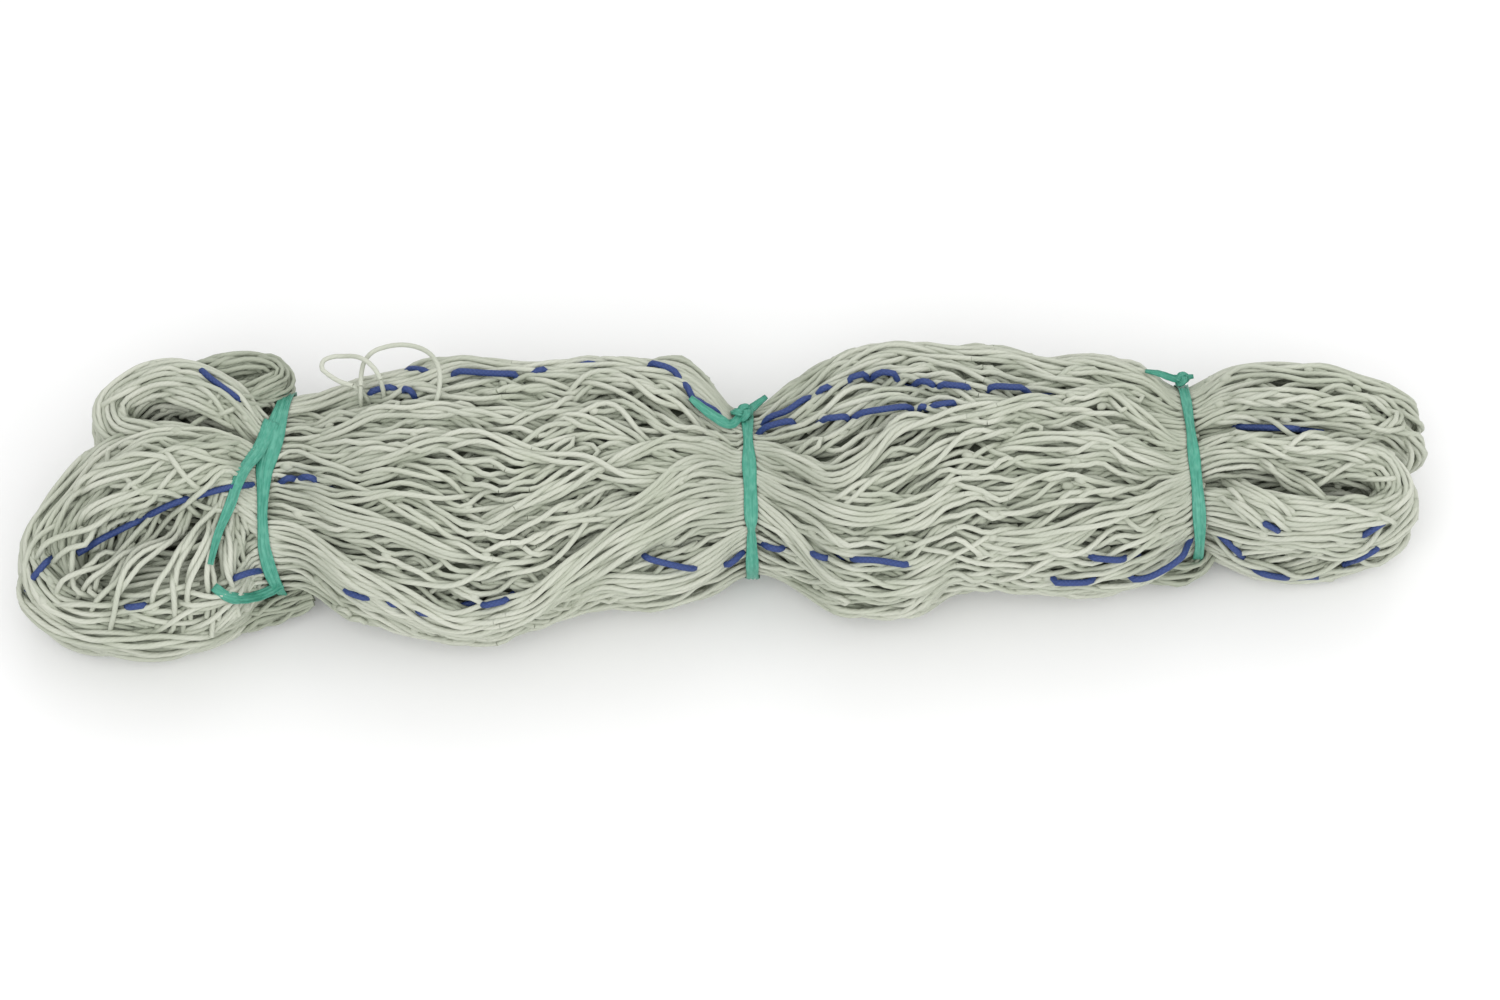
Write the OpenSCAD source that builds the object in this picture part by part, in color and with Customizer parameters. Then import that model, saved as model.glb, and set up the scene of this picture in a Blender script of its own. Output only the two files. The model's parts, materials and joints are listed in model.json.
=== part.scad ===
// A tennis net gathered lengthwise, folded to and fro into a hank and tied in three places.
// Millimetres. X runs along the hank, Z is up. The origin is under the middle, on the floor.
// Six folds of gathered netting lie side by side and in two layers along each of the four lobes.

/* [Hank] */
// Length over both folded ends
hank_length = 708; // [680:1:740]
// Half width of the left end lobe at its widest
left_end_half_w = 73; // [66:1:78]
// Half width of the left middle lobe at its widest
left_middle_half_w = 68; // [62:1:74]
// Half width of the right middle lobe at its widest
right_middle_half_w = 66; // [60:1:72]
// Half width of the right end lobe at its widest
right_end_half_w = 51; // [46:1:56]
// Half height of the three larger lobes
lobe_half_h = 46; // [42:1:50]
// Half height of the right end lobe
right_end_half_h = 38; // [34:1:42]

/* [Ties] */
// Place of the left tie along the hank
tie_1_x = -219; // [-225:1:-213]
// Place of the middle tie along the hank
tie_2_x = 13; // [8:1:18]
// Place of the right tie along the hank
tie_3_x = 235; // [230:1:240]
// Half width of the netting under the left tie
waist_1_half_w = 53; // [48:1:53]
// Half width of the netting under the middle and right ties
waist_half_w = 46; // [42:1:48]
// Half height of the netting under every tie
waist_half_h = 30; // [27:1:31]
// Height of the middle of each waist above the floor
waist_z = 38; // [37:1:40]
// Width of the left tie's flat tape
broad_tape_w = 9; // [6:0.5:9]
// Width of the other two ties' flat tape
tape_w = 6; // [4:0.5:8]
// Thickness of the wound tape
tape_t = 1.2; // [0.6:0.1:1.5]
// Radius of a tie's knot
knot_r = 4.5; // [3.5:0.1:5]

/* [Cords] */
// Diameter of the blue border cord
cord_d = 3.5; // [3:0.1:4]
// Diameter of the netting twine
twine_d = 2.4; // [2:0.1:2.6]

/* [Bending at the ties] */
// Radius of the upright round end on which a lobe turns
knuckle_r = 26; // [26:0.1:26.5]
// Distance from a tie's middle to the lobe that turns there
turning_gap = 27; // [27:0.1:28]
// Distance from a tie's middle to the lobe that stays
fixed_gap = 6; // [5.5:0.1:7]

/* [Hidden] */
fold_sides = 14;
cord_sides = 8;
cord_step = 7;
slim = 0.985;
fit_gap = 0.1;
slab_half = 5;

netting = [0.80, 0.82, 0.77];
blue = [0.10, 0.17, 0.42];
green = [0.24, 0.56, 0.46];

// The two layers of three folds: across, up, half width and half height,
// as shares of the lobe's own half width and half height.
low_r = 1 / 3;
high_r = 0.3;
stack_h = low_r + 0.63 + high_r;
low_h = 2 * low_r / stack_h;
high_h = 2 * high_r / stack_h;
LAYOUT = [for (k = [-1, 0, 1]) [2 * k * low_r, low_h - 1, low_r, low_h],
          for (k = [-1, 0, 1]) [2 * k * high_r, 1 - high_h, high_r, high_h]];

// A lobe's sections: share of its length, sideways place, share of its half width,
// share of its half height, and how far its underside is above the floor (less than 0: pressed flat).
LEFT_END = [[0, -26, 0.12, 0.22, 1], [0.07, -25, 0.34, 0.48, 0], [0.17, -22, 0.53, 0.67, -1],
            [0.35, -23, 0.74, 0.89, -1], [0.54, -8, 0.97, 0.98, -2], [0.81, -1, 1, 1, -2],
            [1, 4, 0.96, 0.93, 0]];
LEFT_MIDDLE = [[0, 7, 0.73, 0.67, 7], [0.04, 7, 0.71, 0.7, 7], [0.12, 1, 0.78, 0.83, 3],
               [0.21, -1, 0.85, 0.93, 0], [0.35, 2, 1, 1, -2], [0.53, 3, 0.93, 1, -2],
               [0.67, 10, 0.85, 0.96, -1], [0.8, 11, 0.9, 0.96, -1], [0.9, 12, 0.87, 0.89, 0],
               [0.95, 10, 0.75, 0.78, 3], [1, 6, 0.62, 0.67, 7]];
RIGHT_MIDDLE = [[0, 14, 0.76, 0.83, 2], [0.075, 9, 0.91, 0.93, 0], [0.18, 11, 1, 1, -2],
                [0.285, 12, 1, 1, -2], [0.39, 17, 0.85, 1, -2], [0.5, 18, 0.87, 0.98, -2],
                [0.655, 15, 0.83, 0.96, -1], [0.79, 16, 0.85, 0.91, 0], [0.92, 17, 0.82, 0.83, 2],
                [1, 17, 0.77, 0.7, 6]];
RIGHT_END = [[0, 21, 0.96, 0.95, 2], [0.35, 19, 1, 1, -1], [0.565, 20, 0.94, 0.95, -1],
             [0.78, 26, 0.75, 0.82, 0], [0.913, 29, 0.37, 0.63, 0], [1, 29, 0.16, 0.32, 1]];

// Sections with real sizes: x, y, half width, half height, height of the middle.
function sized(rows, from, to, half_w, half_h) =
    [for (r = rows) [from + (to - from) * r[0], r[1], half_w * r[2], half_h * r[3], half_h * r[3] + r[4]]];
left_end = sized(LEFT_END, -hank_length / 2, tie_1_x - turning_gap, left_end_half_w, lobe_half_h);
left_middle = sized(LEFT_MIDDLE, tie_1_x + fixed_gap, tie_2_x - fixed_gap,
                    left_middle_half_w, lobe_half_h);
right_middle = sized(RIGHT_MIDDLE, tie_2_x + turning_gap, tie_3_x - fixed_gap,
                     right_middle_half_w, lobe_half_h);
right_end = sized(RIGHT_END, tie_3_x + turning_gap, hank_length / 2, right_end_half_w, right_end_half_h);
waist_1_y = 5;
waist_2_y = 6;
waist_3_y = 18;

// The section at x, between the two rows on either side of it.
function section_at(rows, x, i = 0) =
    (i >= len(rows) - 2 || x < rows[i + 1][0])
        ? rows[i] + (rows[i + 1] - rows[i]) * (x - rows[i][0]) / (rows[i + 1][0] - rows[i][0])
        : section_at(rows, x, i + 1);

// One fold's oval at a section: middle y, middle z, half width, half height.
function oval(s, n) = let (f = LAYOUT[n])
    [s[1] + f[0] * s[2], s[4] + f[1] * s[3], slim * f[2] * s[2], slim * f[3] * s[3]];

// Height of the folds' upper surface at x, y.
function top_z(rows, x, y) = let (s = section_at(rows, x))
    max([for (n = [0:5]) let (o = oval(s, n), d = (y - o[0]) / o[2])
        abs(d) < 1 ? o[1] + o[3] * sqrt(1 - d * d) : 0]);

// A point on the folds at x, y for something of radius r that lies on them.
function lying(rows, x, y, r) =
    [x, y, max([for (dy = [-r - 1, 0, r + 1]) top_z(rows, x, y + dy)]) + r + 0.9];

// A point beside one fold, at an angle round it from +Y, for something of radius r.
function beside(rows, x, n, angle, r) = let (o = oval(section_at(rows, x), n))
    [x, o[0] + (o[2] + r + 1) * cos(angle), o[1] + (o[3] + r + 1) * sin(angle)];

// Points every few millimetres along a list of [x, value] pairs.
function steps(a, b) = max(1, round(abs(b[0] - a[0]) / cord_step));
function filled(list) = [for (i = [0:len(list) - 2]) for (k = [0:steps(list[i], list[i + 1]) - 1])
    list[i] + (list[i + 1] - list[i]) * k / steps(list[i], list[i + 1]), list[len(list) - 1]];

function unit(v) = v / norm(v);
function heading(p, i) = unit(p[min(i + 1, len(p) - 1)] - p[max(i - 1, 0)]);

// Closed skin over rings that run along the piece, each turning from its side to its up direction.
module skin(rings) {
    n = len(rings[0]);
    last = (len(rings) - 1) * n;
    walls = [for (i = [0:len(rings) - 2]) for (k = [0:n - 1])
        let (a = i * n + k, b = i * n + (k + 1) % n) each [[a, a + n, b + n], [a, b + n, b]]];
    caps = [[for (k = [0:n - 1]) k], [for (k = [n - 1:-1:0]) last + k]];
    polyhedron([for (r = rings) each r], concat(walls, caps));
}

// A tube or flat strip along points, with half sizes across and up.
module swept(p, across, up_size, up = [0, 0, 1]) {
    skin([for (i = [0:len(p) - 1])
        let (t = heading(p, i), side = unit(cross(up, t)), high = cross(t, side))
        [for (k = [0:cord_sides - 1]) let (a = (k + 0.5) * 360 / cord_sides)
            p[i] + side * across * cos(a) + high * up_size * sin(a)]]);
}

// One fold of gathered netting along a lobe, pressed flat where it meets the floor.
module fold(rows, n) {
    color(netting)
    skin([for (s = rows) let (o = oval(s, n))
        [for (k = [0:fold_sides - 1]) let (a = k * 360 / fold_sides)
            [s[0], o[0] + o[2] * cos(a), max(0, o[1] + o[3] * sin(a))]]]);
}

// Outline of the netting under a tie, with the round ends front and back.
module waist_outline(half_w, grow = 0) {
    for (side = [-1, 1])
        translate([side * (half_w - waist_half_h), 0])
            circle(r = waist_half_h + grow, $fn = 64);
    square([2 * (half_w - waist_half_h), 2 * (waist_half_h + grow)], center = true);
}

// A length along X of something drawn across the hank, from x1 to x2.
module along_x(x1, x2) {
    translate([x1, 0, 0])
        rotate([90, 0, 90])
            linear_extrude(height = x2 - x1)
                children();
}

// Netting squeezed under a tie, with the upright round end that the next lobe turns round.
// turning is 1 when that lobe is on the right of the tie, and -1 when it is on the left.
module waist(x, y, half_w, turning) {
    color(netting)
    translate([x, y, waist_z])
        intersection() {
            along_x(turning > 0 ? -fixed_gap : -knuckle_r, turning > 0 ? knuckle_r : fixed_gap)
                waist_outline(half_w);
            union() {
                cylinder(r = knuckle_r, h = 3 * waist_half_h, center = true, $fn = 96);
                along_x(turning > 0 ? -fixed_gap : -slab_half, turning > 0 ? slab_half : fixed_gap)
                    square([3 * half_w, 3 * waist_half_h], center = true);
            }
        }
}

// Flat tape wound round a waist.
module band(x, y, half_w, width) {
    color(green)
    translate([x, y, waist_z])
        along_x(-width / 2, width / 2)
            difference() {
                waist_outline(half_w, fit_gap + tape_t);
                waist_outline(half_w, fit_gap);
            }
}

// Middle of a knot that sits on a band's back edge, at an angle up from +Y.
function knot_at(x, y, angle) = let (r = waist_half_h + tape_t + knot_r + 2 * fit_gap)
    [x, y + waist_half_w - waist_half_h + r * cos(angle), waist_z + r * sin(angle)];
knot_2 = knot_at(tie_2_x, waist_2_y, 67);
knot_3 = knot_at(tie_3_x, waist_3_y, 35);

module knot(place) {
    color(green)
    translate(place)
        sphere(r = knot_r, $fn = 32);
}

// A tape end, as a thin flat strip along its points.
module tape_end(p, width, up = [0, 0, 1]) {
    color(green)
    swept(p, width / 2, tape_t / 3, up);
}

// Blue border cord along points.
module border_cord(p) {
    color(blue)
    swept(p, cord_d / 2, cord_d / 2);
}

// Routes over the folds, as x and y pairs, and routes beside the front fold, as x and angle pairs.
END_SIDE_TOP = [[-258, 44], [-250, 39], [-247, 37]];
END_SIDE_MAIN = [[-310, -50], [-290, -40], [-270, -26], [-247, -14]];
HEAD_LEFT = [[-133, 43], [-104, 42], [-70, 44], [-36, 45], [-20, 42], [-14, 40]];
HEAD_RIGHT_HIGH = [[43, 36], [66, 40], [86, 42], [111, 39], [151, 39], [170, 43]];
HEAD_RIGHT_LOW = [[43, 22], [60, 22], [88, 30], [120, 33], [144, 34]];
END_HEAD = [[264, 22], [284, 21], [310, 19]];
FOOT_LEFT = [[-186, 135], [-160, 130], [-110, 125], [-60, 130], [-30, 140], [-10, 145]];
FOOT_RIGHT = [[44, 140], [70, 135], [120, 150], [160, 155], [190, 160], [214, 150]];
END_FOOT = [[266, 170], [290, 180], [315, 170]];

function over_folds(rows, route) = [for (q = filled(route)) lying(rows, q[0], q[1], cord_d / 2)];
function front_fold(rows, route) = [for (q = filled(route)) beside(rows, q[0], 0, q[1], cord_d / 2)];

// Two loops of netting twine that spring clear of the left middle lobe's back shoulder.
LOOP_LEFT = [[-184, 42, 82], [-190, 44, 82], [-196, 48, 82], [-200, 52, 82], [-200, 56, 82], [-196, 58, 83],
             [-189, 58, 84], [-183, 56, 87], [-177, 52, 89], [-172, 47, 87], [-170, 43, 86]];
LOOP_RIGHT = [[-180, 41, 83], [-180, 48, 83], [-179, 54, 84], [-175, 59, 86], [-168, 61, 88],
              [-160, 61, 90], [-152, 59, 91], [-146, 55, 92], [-142, 49, 93], [-140, 42, 93],
              [-140, 36, 92], [-141, 31, 89], [-143, 27, 86]];

module loose_twine(p) {
    color(netting)
    swept(p, twine_d / 2, twine_d / 2);
}

for (k = [1:6]) {
    fold(left_end, k - 1);
    fold(left_middle, k - 1);
    fold(right_middle, k - 1);
    fold(right_end, k - 1);
}
waist(tie_1_x, waist_1_y, waist_1_half_w, -1);  // waist_1
waist(tie_2_x, waist_2_y, waist_half_w, 1);  // waist_2
waist(tie_3_x, waist_3_y, waist_half_w, 1);  // waist_3
band(tie_1_x, waist_1_y, waist_1_half_w, broad_tape_w);  // tie_1_band
band(tie_2_x, waist_2_y, waist_half_w, tape_w);  // tie_2_band
band(tie_3_x, waist_3_y, waist_half_w, tape_w);  // tie_3_band
tape_end([for (k = [0:3]) [tie_1_x - 6.5 - 5 * k, 2 - 2.5 * k, waist_z + waist_half_h + 0.8]], tape_w);  // tie_1_split_end
tape_end([for (k = [0:3]) beside(left_end, tie_1_x - turning_gap - 1 - 7 * k, 0, 170, 0.6)],  // tie_1_lower_end
             tape_w, [0, -1, 0.2]);
knot(knot_2);  // tie_2_knot
knot(knot_3);  // tie_3_knot
tape_end([for (k = [0:3]) let (x = tie_2_x - knot_r - 0.6 - 6 * k) lying(left_middle, x, 34 - k, 3)],  // tie_2_left_end
             tape_w);
tape_end([for (k = [0:1]) knot_2 + [knot_r + 0.5 + 5 * k, k, 1 + k]], tape_w);  // tie_2_right_end
tape_end([for (k = [0:3]) let (x = tie_3_x - knot_r - 2 - 5 * k) lying(right_middle, x, 52 - k, 3)],  // tie_3_left_end
             tape_w);
tape_end([for (k = [0:1]) knot_3 + [knot_r + 0.5 + 4 * k, k, 1 + k]], tape_w);  // tie_3_right_end
border_cord(over_folds(left_end, END_SIDE_TOP));  // side_cord_left_end_top
border_cord(over_folds(left_end, END_SIDE_MAIN));  // side_cord_left_end_main
border_cord(over_folds(left_middle, HEAD_LEFT));  // head_cord_left_middle
border_cord(front_fold(left_middle, FOOT_LEFT));  // foot_cord_left_middle
border_cord(over_folds(right_middle, HEAD_RIGHT_HIGH));  // head_cord_right_middle_high
border_cord(over_folds(right_middle, HEAD_RIGHT_LOW));  // head_cord_right_middle_low
border_cord(front_fold(right_middle, FOOT_RIGHT));  // foot_cord_right_middle
border_cord(over_folds(right_end, END_HEAD));  // head_cord_right_end
border_cord(front_fold(right_end, END_FOOT));  // foot_cord_right_end
loose_twine(LOOP_LEFT);  // loose_twine_left
loose_twine(LOOP_RIGHT);  // loose_twine_right
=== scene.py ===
"""A tennis net gathered into a hank and tied in three places: its looks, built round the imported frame.

Shapes are worked out in millimetres and turned into metres when a mesh is made.
"""
import json
from collections import namedtuple
from itertools import product
from math import cos, pi, radians, sin, tau

import bmesh
import bpy
import numpy as np
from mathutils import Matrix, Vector


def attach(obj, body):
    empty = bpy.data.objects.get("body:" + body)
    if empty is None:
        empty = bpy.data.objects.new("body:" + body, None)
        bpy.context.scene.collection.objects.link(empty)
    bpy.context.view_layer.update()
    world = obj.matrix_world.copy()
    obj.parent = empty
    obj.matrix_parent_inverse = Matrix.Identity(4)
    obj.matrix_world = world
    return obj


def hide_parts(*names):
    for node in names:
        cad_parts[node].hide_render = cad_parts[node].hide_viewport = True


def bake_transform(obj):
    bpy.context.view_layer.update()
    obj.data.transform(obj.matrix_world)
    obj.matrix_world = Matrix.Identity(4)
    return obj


MM = 0.001
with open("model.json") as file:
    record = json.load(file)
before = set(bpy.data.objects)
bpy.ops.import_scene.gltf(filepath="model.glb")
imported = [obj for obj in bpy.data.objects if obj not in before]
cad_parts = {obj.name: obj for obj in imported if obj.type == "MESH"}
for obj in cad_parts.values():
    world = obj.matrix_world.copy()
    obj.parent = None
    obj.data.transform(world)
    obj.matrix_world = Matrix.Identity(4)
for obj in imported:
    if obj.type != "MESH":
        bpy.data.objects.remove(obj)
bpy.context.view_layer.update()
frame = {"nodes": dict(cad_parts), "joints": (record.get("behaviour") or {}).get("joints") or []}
TIE_1, TIE_2, TIE_3 = (
    np.array(next(j["pos_m"] for j in frame["joints"] if j["name"] == f"tie_{k}_bend")) / MM for k in (1, 2,
                                                                                                       3)
)


def new_object(name, data):
    """An object in the scene, made from its data."""
    made = bpy.data.objects.new(name, data)
    bpy.context.scene.collection.objects.link(made)
    return made


def point_at(thing, place, target):
    """Puts a camera or light at a place and turns it to its target."""
    thing.location = place
    thing.rotation_euler = (target - place).to_track_quat("-Z", "Y").to_euler()


# --- camera ---
camera_data = bpy.data.cameras.new("camera")
camera_data.lens = 105
camera_data.sensor_width = 36
camera = new_object("camera", camera_data)
AIM = Vector((0.01375, -0.003, 0.046))
LOOK_DOWN = radians(60)
FRAME_WIDTH = 0.75
distance = FRAME_WIDTH * camera_data.lens / camera_data.sensor_width
point_at(camera, AIM + distance * Vector((0, -cos(LOOK_DOWN), sin(LOOK_DOWN))), AIM)
bpy.context.scene.camera = camera

# --- sizes of the net's own pieces, in millimetres ---
TWINE_R = 1.45
MESH_BAR = 45.0
BORDER_R = 1.65
STEP = 3.0
LAYERS = 4
ROUND = 84
LAYER_DEPTH = 2.6
SNUG = 3.0
# Directions: towards the eye, and up with a little towards the viewer.
FACING = np.array([0, -cos(LOOK_DOWN), sin(LOOK_DOWN)])
UPWARD = np.array([0, -0.4, 1.0])
SQUARENESS = 2.3
SLANT_FROM = AIM.y / MM + 7.5

# Sections of a lobe from tie to tie: share of the way, y, half width, half height, height of the underside.
LEFT_MIDDLE = [
    (0, 5, 54, 31, 8), (0.06, 6, 53, 32, 7), (0.142, 1, 63, 38, 3), (0.228, -1, 68, 43, 0),
    (0.358, -1, 75, 46, -1), (0.53, 0, 70, 46, -1), (0.66, 7, 65, 44, 0), (0.79, 8, 68, 44, 0),
    (0.875, 10, 65, 41, 0), (0.927, 8, 57, 36, 3), (0.973, 5, 47, 31, 7), (1, 6, 45, 30, 8),
]
RIGHT_MIDDLE = [
    (0, 6, 45, 30, 8), (0.05, 9, 49, 33, 5), (0.12, 11, 57, 38, 2), (0.185, 8, 66, 43, 0),
    (0.275, 9, 72, 46, -1), (0.365, 10, 73, 46, -1), (0.455, 14, 64, 46, -1), (0.545, 16, 64, 45, 0),
    (0.68, 12, 62, 44, -1), (0.797, 14, 63, 42, 0), (0.905, 15, 60, 38, 2), (0.973, 16, 52, 32, 6),
    (1, 18, 46, 30, 8),
]

# How the folds run over a lobe's upper front, far fold first. Each row holds how high the fold lies
# across that face, from 1 at the far edge to -1 at the near edge, at the stations along the lobe.
LEFT_STATIONS = [0, 0.12, 0.25, 0.38, 0.51, 0.64, 0.77, 0.87, 1]
LEFT_FLOW = [
    [1, 1, 1, 1, 1, 1, 1, 1, 1],
    [0.7, 0.7, 0.7, 0.65, 0.7, 0.75, 0.65, 0.55, 0.7],
    [0.4, 0.45, 0.45, 0.4, 0.4, 0.3, 0.25, 0.25, 0.45],
    [0.15, 0.15, 0.1, 0.05, 0.1, 0.05, 0.1, 0.1, 0.2],
    [-0.05, -0.15, -0.15, -0.25, -0.25, -0.25, -0.1, 0, 0.05],
    [-0.3, -0.4, -0.5, -0.65, -0.65, -0.65, -0.35, -0.15, -0.15],
    [-0.55, -0.6, -0.75, -0.85, -0.85, -0.8, -0.55, -0.35, -0.3],
    [-0.8, -0.85, -0.95, -1, -1, -0.95, -0.7, -0.55, -0.55],
]
RIGHT_STATIONS = [0, 0.09, 0.21, 0.32, 0.43, 0.54, 0.66, 0.77, 0.88, 1]
RIGHT_FLOW = [
    [1, 1, 1, 1, 1, 1, 1, 1, 1, 1],
    [0.85, 0.75, 0.85, 0.85, 0.9, 0.85, 0.85, 0.85, 0.8, 0.85],
    [0.75, 0.6, 0.7, 0.75, 0.7, 0.6, 0.7, 0.7, 0.65, 0.65],
    [0.65, 0.4, 0.4, 0.5, 0.5, 0.5, 0.6, 0.55, 0.5, 0.5],
    [0.55, 0.2, 0.05, 0.35, 0.4, 0.4, 0.5, 0.45, 0.4, 0.35],
    [0.4, 0.05, -0.05, 0.05, 0.15, 0.25, 0.4, 0.35, 0.25, 0.2],
    [0.2, -0.15, -0.2, -0.2, -0.2, -0.1, 0.05, 0.1, 0.1, 0.1],
    [0, -0.35, -0.4, -0.4, -0.45, -0.4, -0.3, -0.2, -0.15, -0.1],
    [-0.25, -0.55, -0.55, -0.55, -0.65, -0.7, -0.6, -0.45, -0.4, -0.25],
    [-0.55, -0.75, -0.75, -0.7, -0.8, -0.85, -0.75, -0.7, -0.6, -0.5],
    [-0.85, -0.95, -0.95, -0.95, -0.9, -0.95, -0.9, -0.9, -0.9, -0.8],
]

# Locks of strands that lie over the rest. Each: width, strands, lift, and its line as pairs of
# share of the way along and height across the face.
LEFT_LOCKS = [
    (13, 7, 2.0, [(0, 0.93), (0.12, 0.93), (0.25, 0.9), (0.4, 0.94), (0.64, 0.96), (0.77, 0.92), (0.87, 0.84),
                  (1, 0.85)]),
    (19, 11, 3.2, [(0, -0.5), (0.12, -0.6), (0.25, -0.78), (0.38, -0.88), (0.51, -0.86), (0.64, -0.7),
                   (0.77, -0.4),
                   (0.87, -0.2), (1, -0.1)]),
    (15, 8, 2.2, [(0.57, -1.0), (0.65, -0.86), (0.75, -0.8), (0.87, -0.76), (1, -0.6)]),
    (8, 4, 1.8, [(0.1, 0.3), (0.25, 0.35), (0.38, 0.42), (0.51, 0.34), (0.64, 0.15), (0.77, 0.02),
                 (0.9, 0.12)]),
    (7, 4, 1.6, [(0.4, -0.3), (0.5, -0.12), (0.64, 0.05), (0.77, 0.22), (0.9, 0.35), (1, 0.45)]),
    (6, 3, 1.6, [(0.62, -0.4), (0.74, -0.22), (0.84, 0.05), (0.92, 0.22), (1, 0.3)]),
    (7, 4, 1.5, [(0.02, 0.1), (0.1, -0.05), (0.2, -0.2), (0.32, -0.3), (0.45, -0.45)]),
    (6, 3, 1.5, [(0.02, 0.62), (0.12, 0.6), (0.22, 0.68), (0.34, 0.6), (0.46, 0.62), (0.6, 0.55)]),
]
RIGHT_LOCKS = [
    (9, 5, 2.5, [(0, 0.55), (0.05, 0.4), (0.11, 0.17), (0.19, 0.03), (0.26, 0.14), (0.32, 0.35), (0.43, 0.4),
                 (0.54, 0.44), (0.66, 0.55), (0.76, 0.62)]),
    (9, 5, 1.8, [(0, 0.2), (0.07, -0.08), (0.15, -0.22), (0.25, -0.27), (0.4, -0.22), (0.52, -0.2)]),
    (9, 5, 2.2, [(0, -0.15), (0.06, -0.42), (0.14, -0.68), (0.25, -0.78), (0.4, -0.8), (0.52, -0.88)]),
    (9, 5, 2.0, [(0.48, -0.75), (0.6, -0.6), (0.75, -0.42), (0.88, -0.24), (0.95, -0.12), (1, -0.08)]),
    (7, 4, 2.0, [(0.5, 0.05), (0.6, 0.18), (0.7, 0.26), (0.8, 0.24), (0.9, 0.14), (1, 0.1)]),
    (7, 4, 2.2, [(0.72, 0.8), (0.8, 0.68), (0.86, 0.52), (0.93, 0.4), (1, 0.36)]),
    (12, 6, 1.8, [(0.1, 0.9), (0.3, 0.96), (0.5, 0.93), (0.7, 0.93), (0.85, 0.88), (1, 0.85)]),
    (6, 3, 1.6, [(0.2, -0.1), (0.3, 0.02), (0.42, 0.12), (0.54, 0.28), (0.66, 0.4)]),
]

# Valleys between folds: depth, and the line as pairs of share of the way along and height across the face.
LEFT_CREASES = [
    (8, [(0.56, 0.8), (0.68, 0.76), (0.78, 0.68), (0.86, 0.58), (0.95, 0.55)]),
    (5, [(0.08, -0.32), (0.2, -0.5), (0.3, -0.62), (0.44, -0.68), (0.58, -0.58), (0.7, -0.3), (0.8, -0.08)]),
    (6, [(0.6, -0.97), (0.68, -0.78), (0.78, -0.6), (0.88, -0.48), (0.97, -0.4)]),
    (4, [(0.02, 0.78), (0.14, 0.76), (0.26, 0.78), (0.4, 0.76)]),
    (4, [(0.02, 0.0), (0.1, -0.12), (0.2, -0.1), (0.3, -0.15)]),
    (4, [(0.6, 0.22), (0.66, 0.16), (0.74, 0.2), (0.82, 0.28)]),
]
RIGHT_CREASES = [
    (6, [(0.03, 0.5), (0.1, 0.33), (0.18, 0.24), (0.26, 0.28), (0.34, 0.42)]),
    (5, [(0.03, 0.22), (0.08, 0.04), (0.15, -0.06), (0.24, -0.08)]),
    (5, [(0.02, -0.1), (0.07, -0.38), (0.14, -0.62), (0.22, -0.7)]),
    (5, [(0.4, -0.72), (0.5, -0.8), (0.58, -0.74), (0.66, -0.72)]),
    (4, [(0.6, 0.3), (0.7, 0.42), (0.8, 0.44), (0.88, 0.3), (0.96, 0.12)]),
    (4, [(0.7, -0.38), (0.82, -0.2), (0.9, -0.05), (0.97, 0.02)]),
    (5, [(0.86, -0.42), (0.92, -0.45), (0.98, -0.55)]),
    (4, [(0.4, 0.8), (0.55, 0.84), (0.7, 0.8), (0.84, 0.74)]),
]

# Small curls of loose twine: share of the way along, height across the face, and the turn in degrees.
LEFT_CURLS = [(0.6, 0.3, 30), (0.66, 0.24, -50), (0.22, 0.7, 10), (0.91, 0.0, -50), (0.3, -0.8, -30),
              (0.14, -0.97, 80), (0.17, -0.99, 100)]
RIGHT_CURLS = [(0.83, 0.6, -60), (0.87, 0.68, -30), (0.14, 0.3, 30), (0.62, 0.3, 30), (0.2, -0.92, 20)]
# The shape of a curl: place along and across it as shares of its size, and how deep it lies.
CURL = [(-1, 0.1, 7), (-0.5, 0.5, 2.6), (0.1, 1.1, 1.4), (0.45, 0.8, 0.8), (0.58, 0, 0.6), (0.4, -0.85, 0.8),
        (0, -1, 1.6), (-0.5, -0.7, 3), (-1, -0.6, 7)]

# Border cords that show between the folds of a lobe: the line, then the stretches that lie on top.
LEFT_CORDS = [
    ([(0.2, 0.95), (0.26, 0.96), (0.31, 0.9), (0.37, 0.87), (0.5, 0.88), (0.57, 0.92), (0.7, 0.94),
      (0.79, 0.9),
      (0.85, 0.82), (0.89, 0.68), (0.93, 0.7), (0.985, 0.8)],
     [(0.26, 0.315), (0.367, 0.5), (0.535, 0.565), (0.635, 0.67), (0.785, 0.85), (0.86, 0.872),
      (0.885, 0.94)]),
    ([(0.1, 0.8), (0.19, 0.84), (0.24, 0.84), (0.29, 0.76), (0.34, 0.7)], [(0.185, 0.24), (0.26, 0.28)]),
    ([(0.01, 0.1), (0.05, 0.14), (0.09, 0.15), (0.15, 0.05)], [(0.038, 0.055), (0.073, 0.09)]),
    ([(0.04, -0.58), (0.14, -0.73), (0.25, -0.77), (0.36, -0.8), (0.46, -0.74), (0.52, -0.74)],
     [(0.145, 0.2), (0.24, 0.26), (0.3, 0.33), (0.44, 0.49)]),
    ([(0.7, -0.6), (0.77, -0.56), (0.81, -0.6), (0.885, -0.69), (0.93, -0.74), (0.99, -0.66)],
     [(0.785, 0.885), (0.945, 0.975)]),
]
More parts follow.
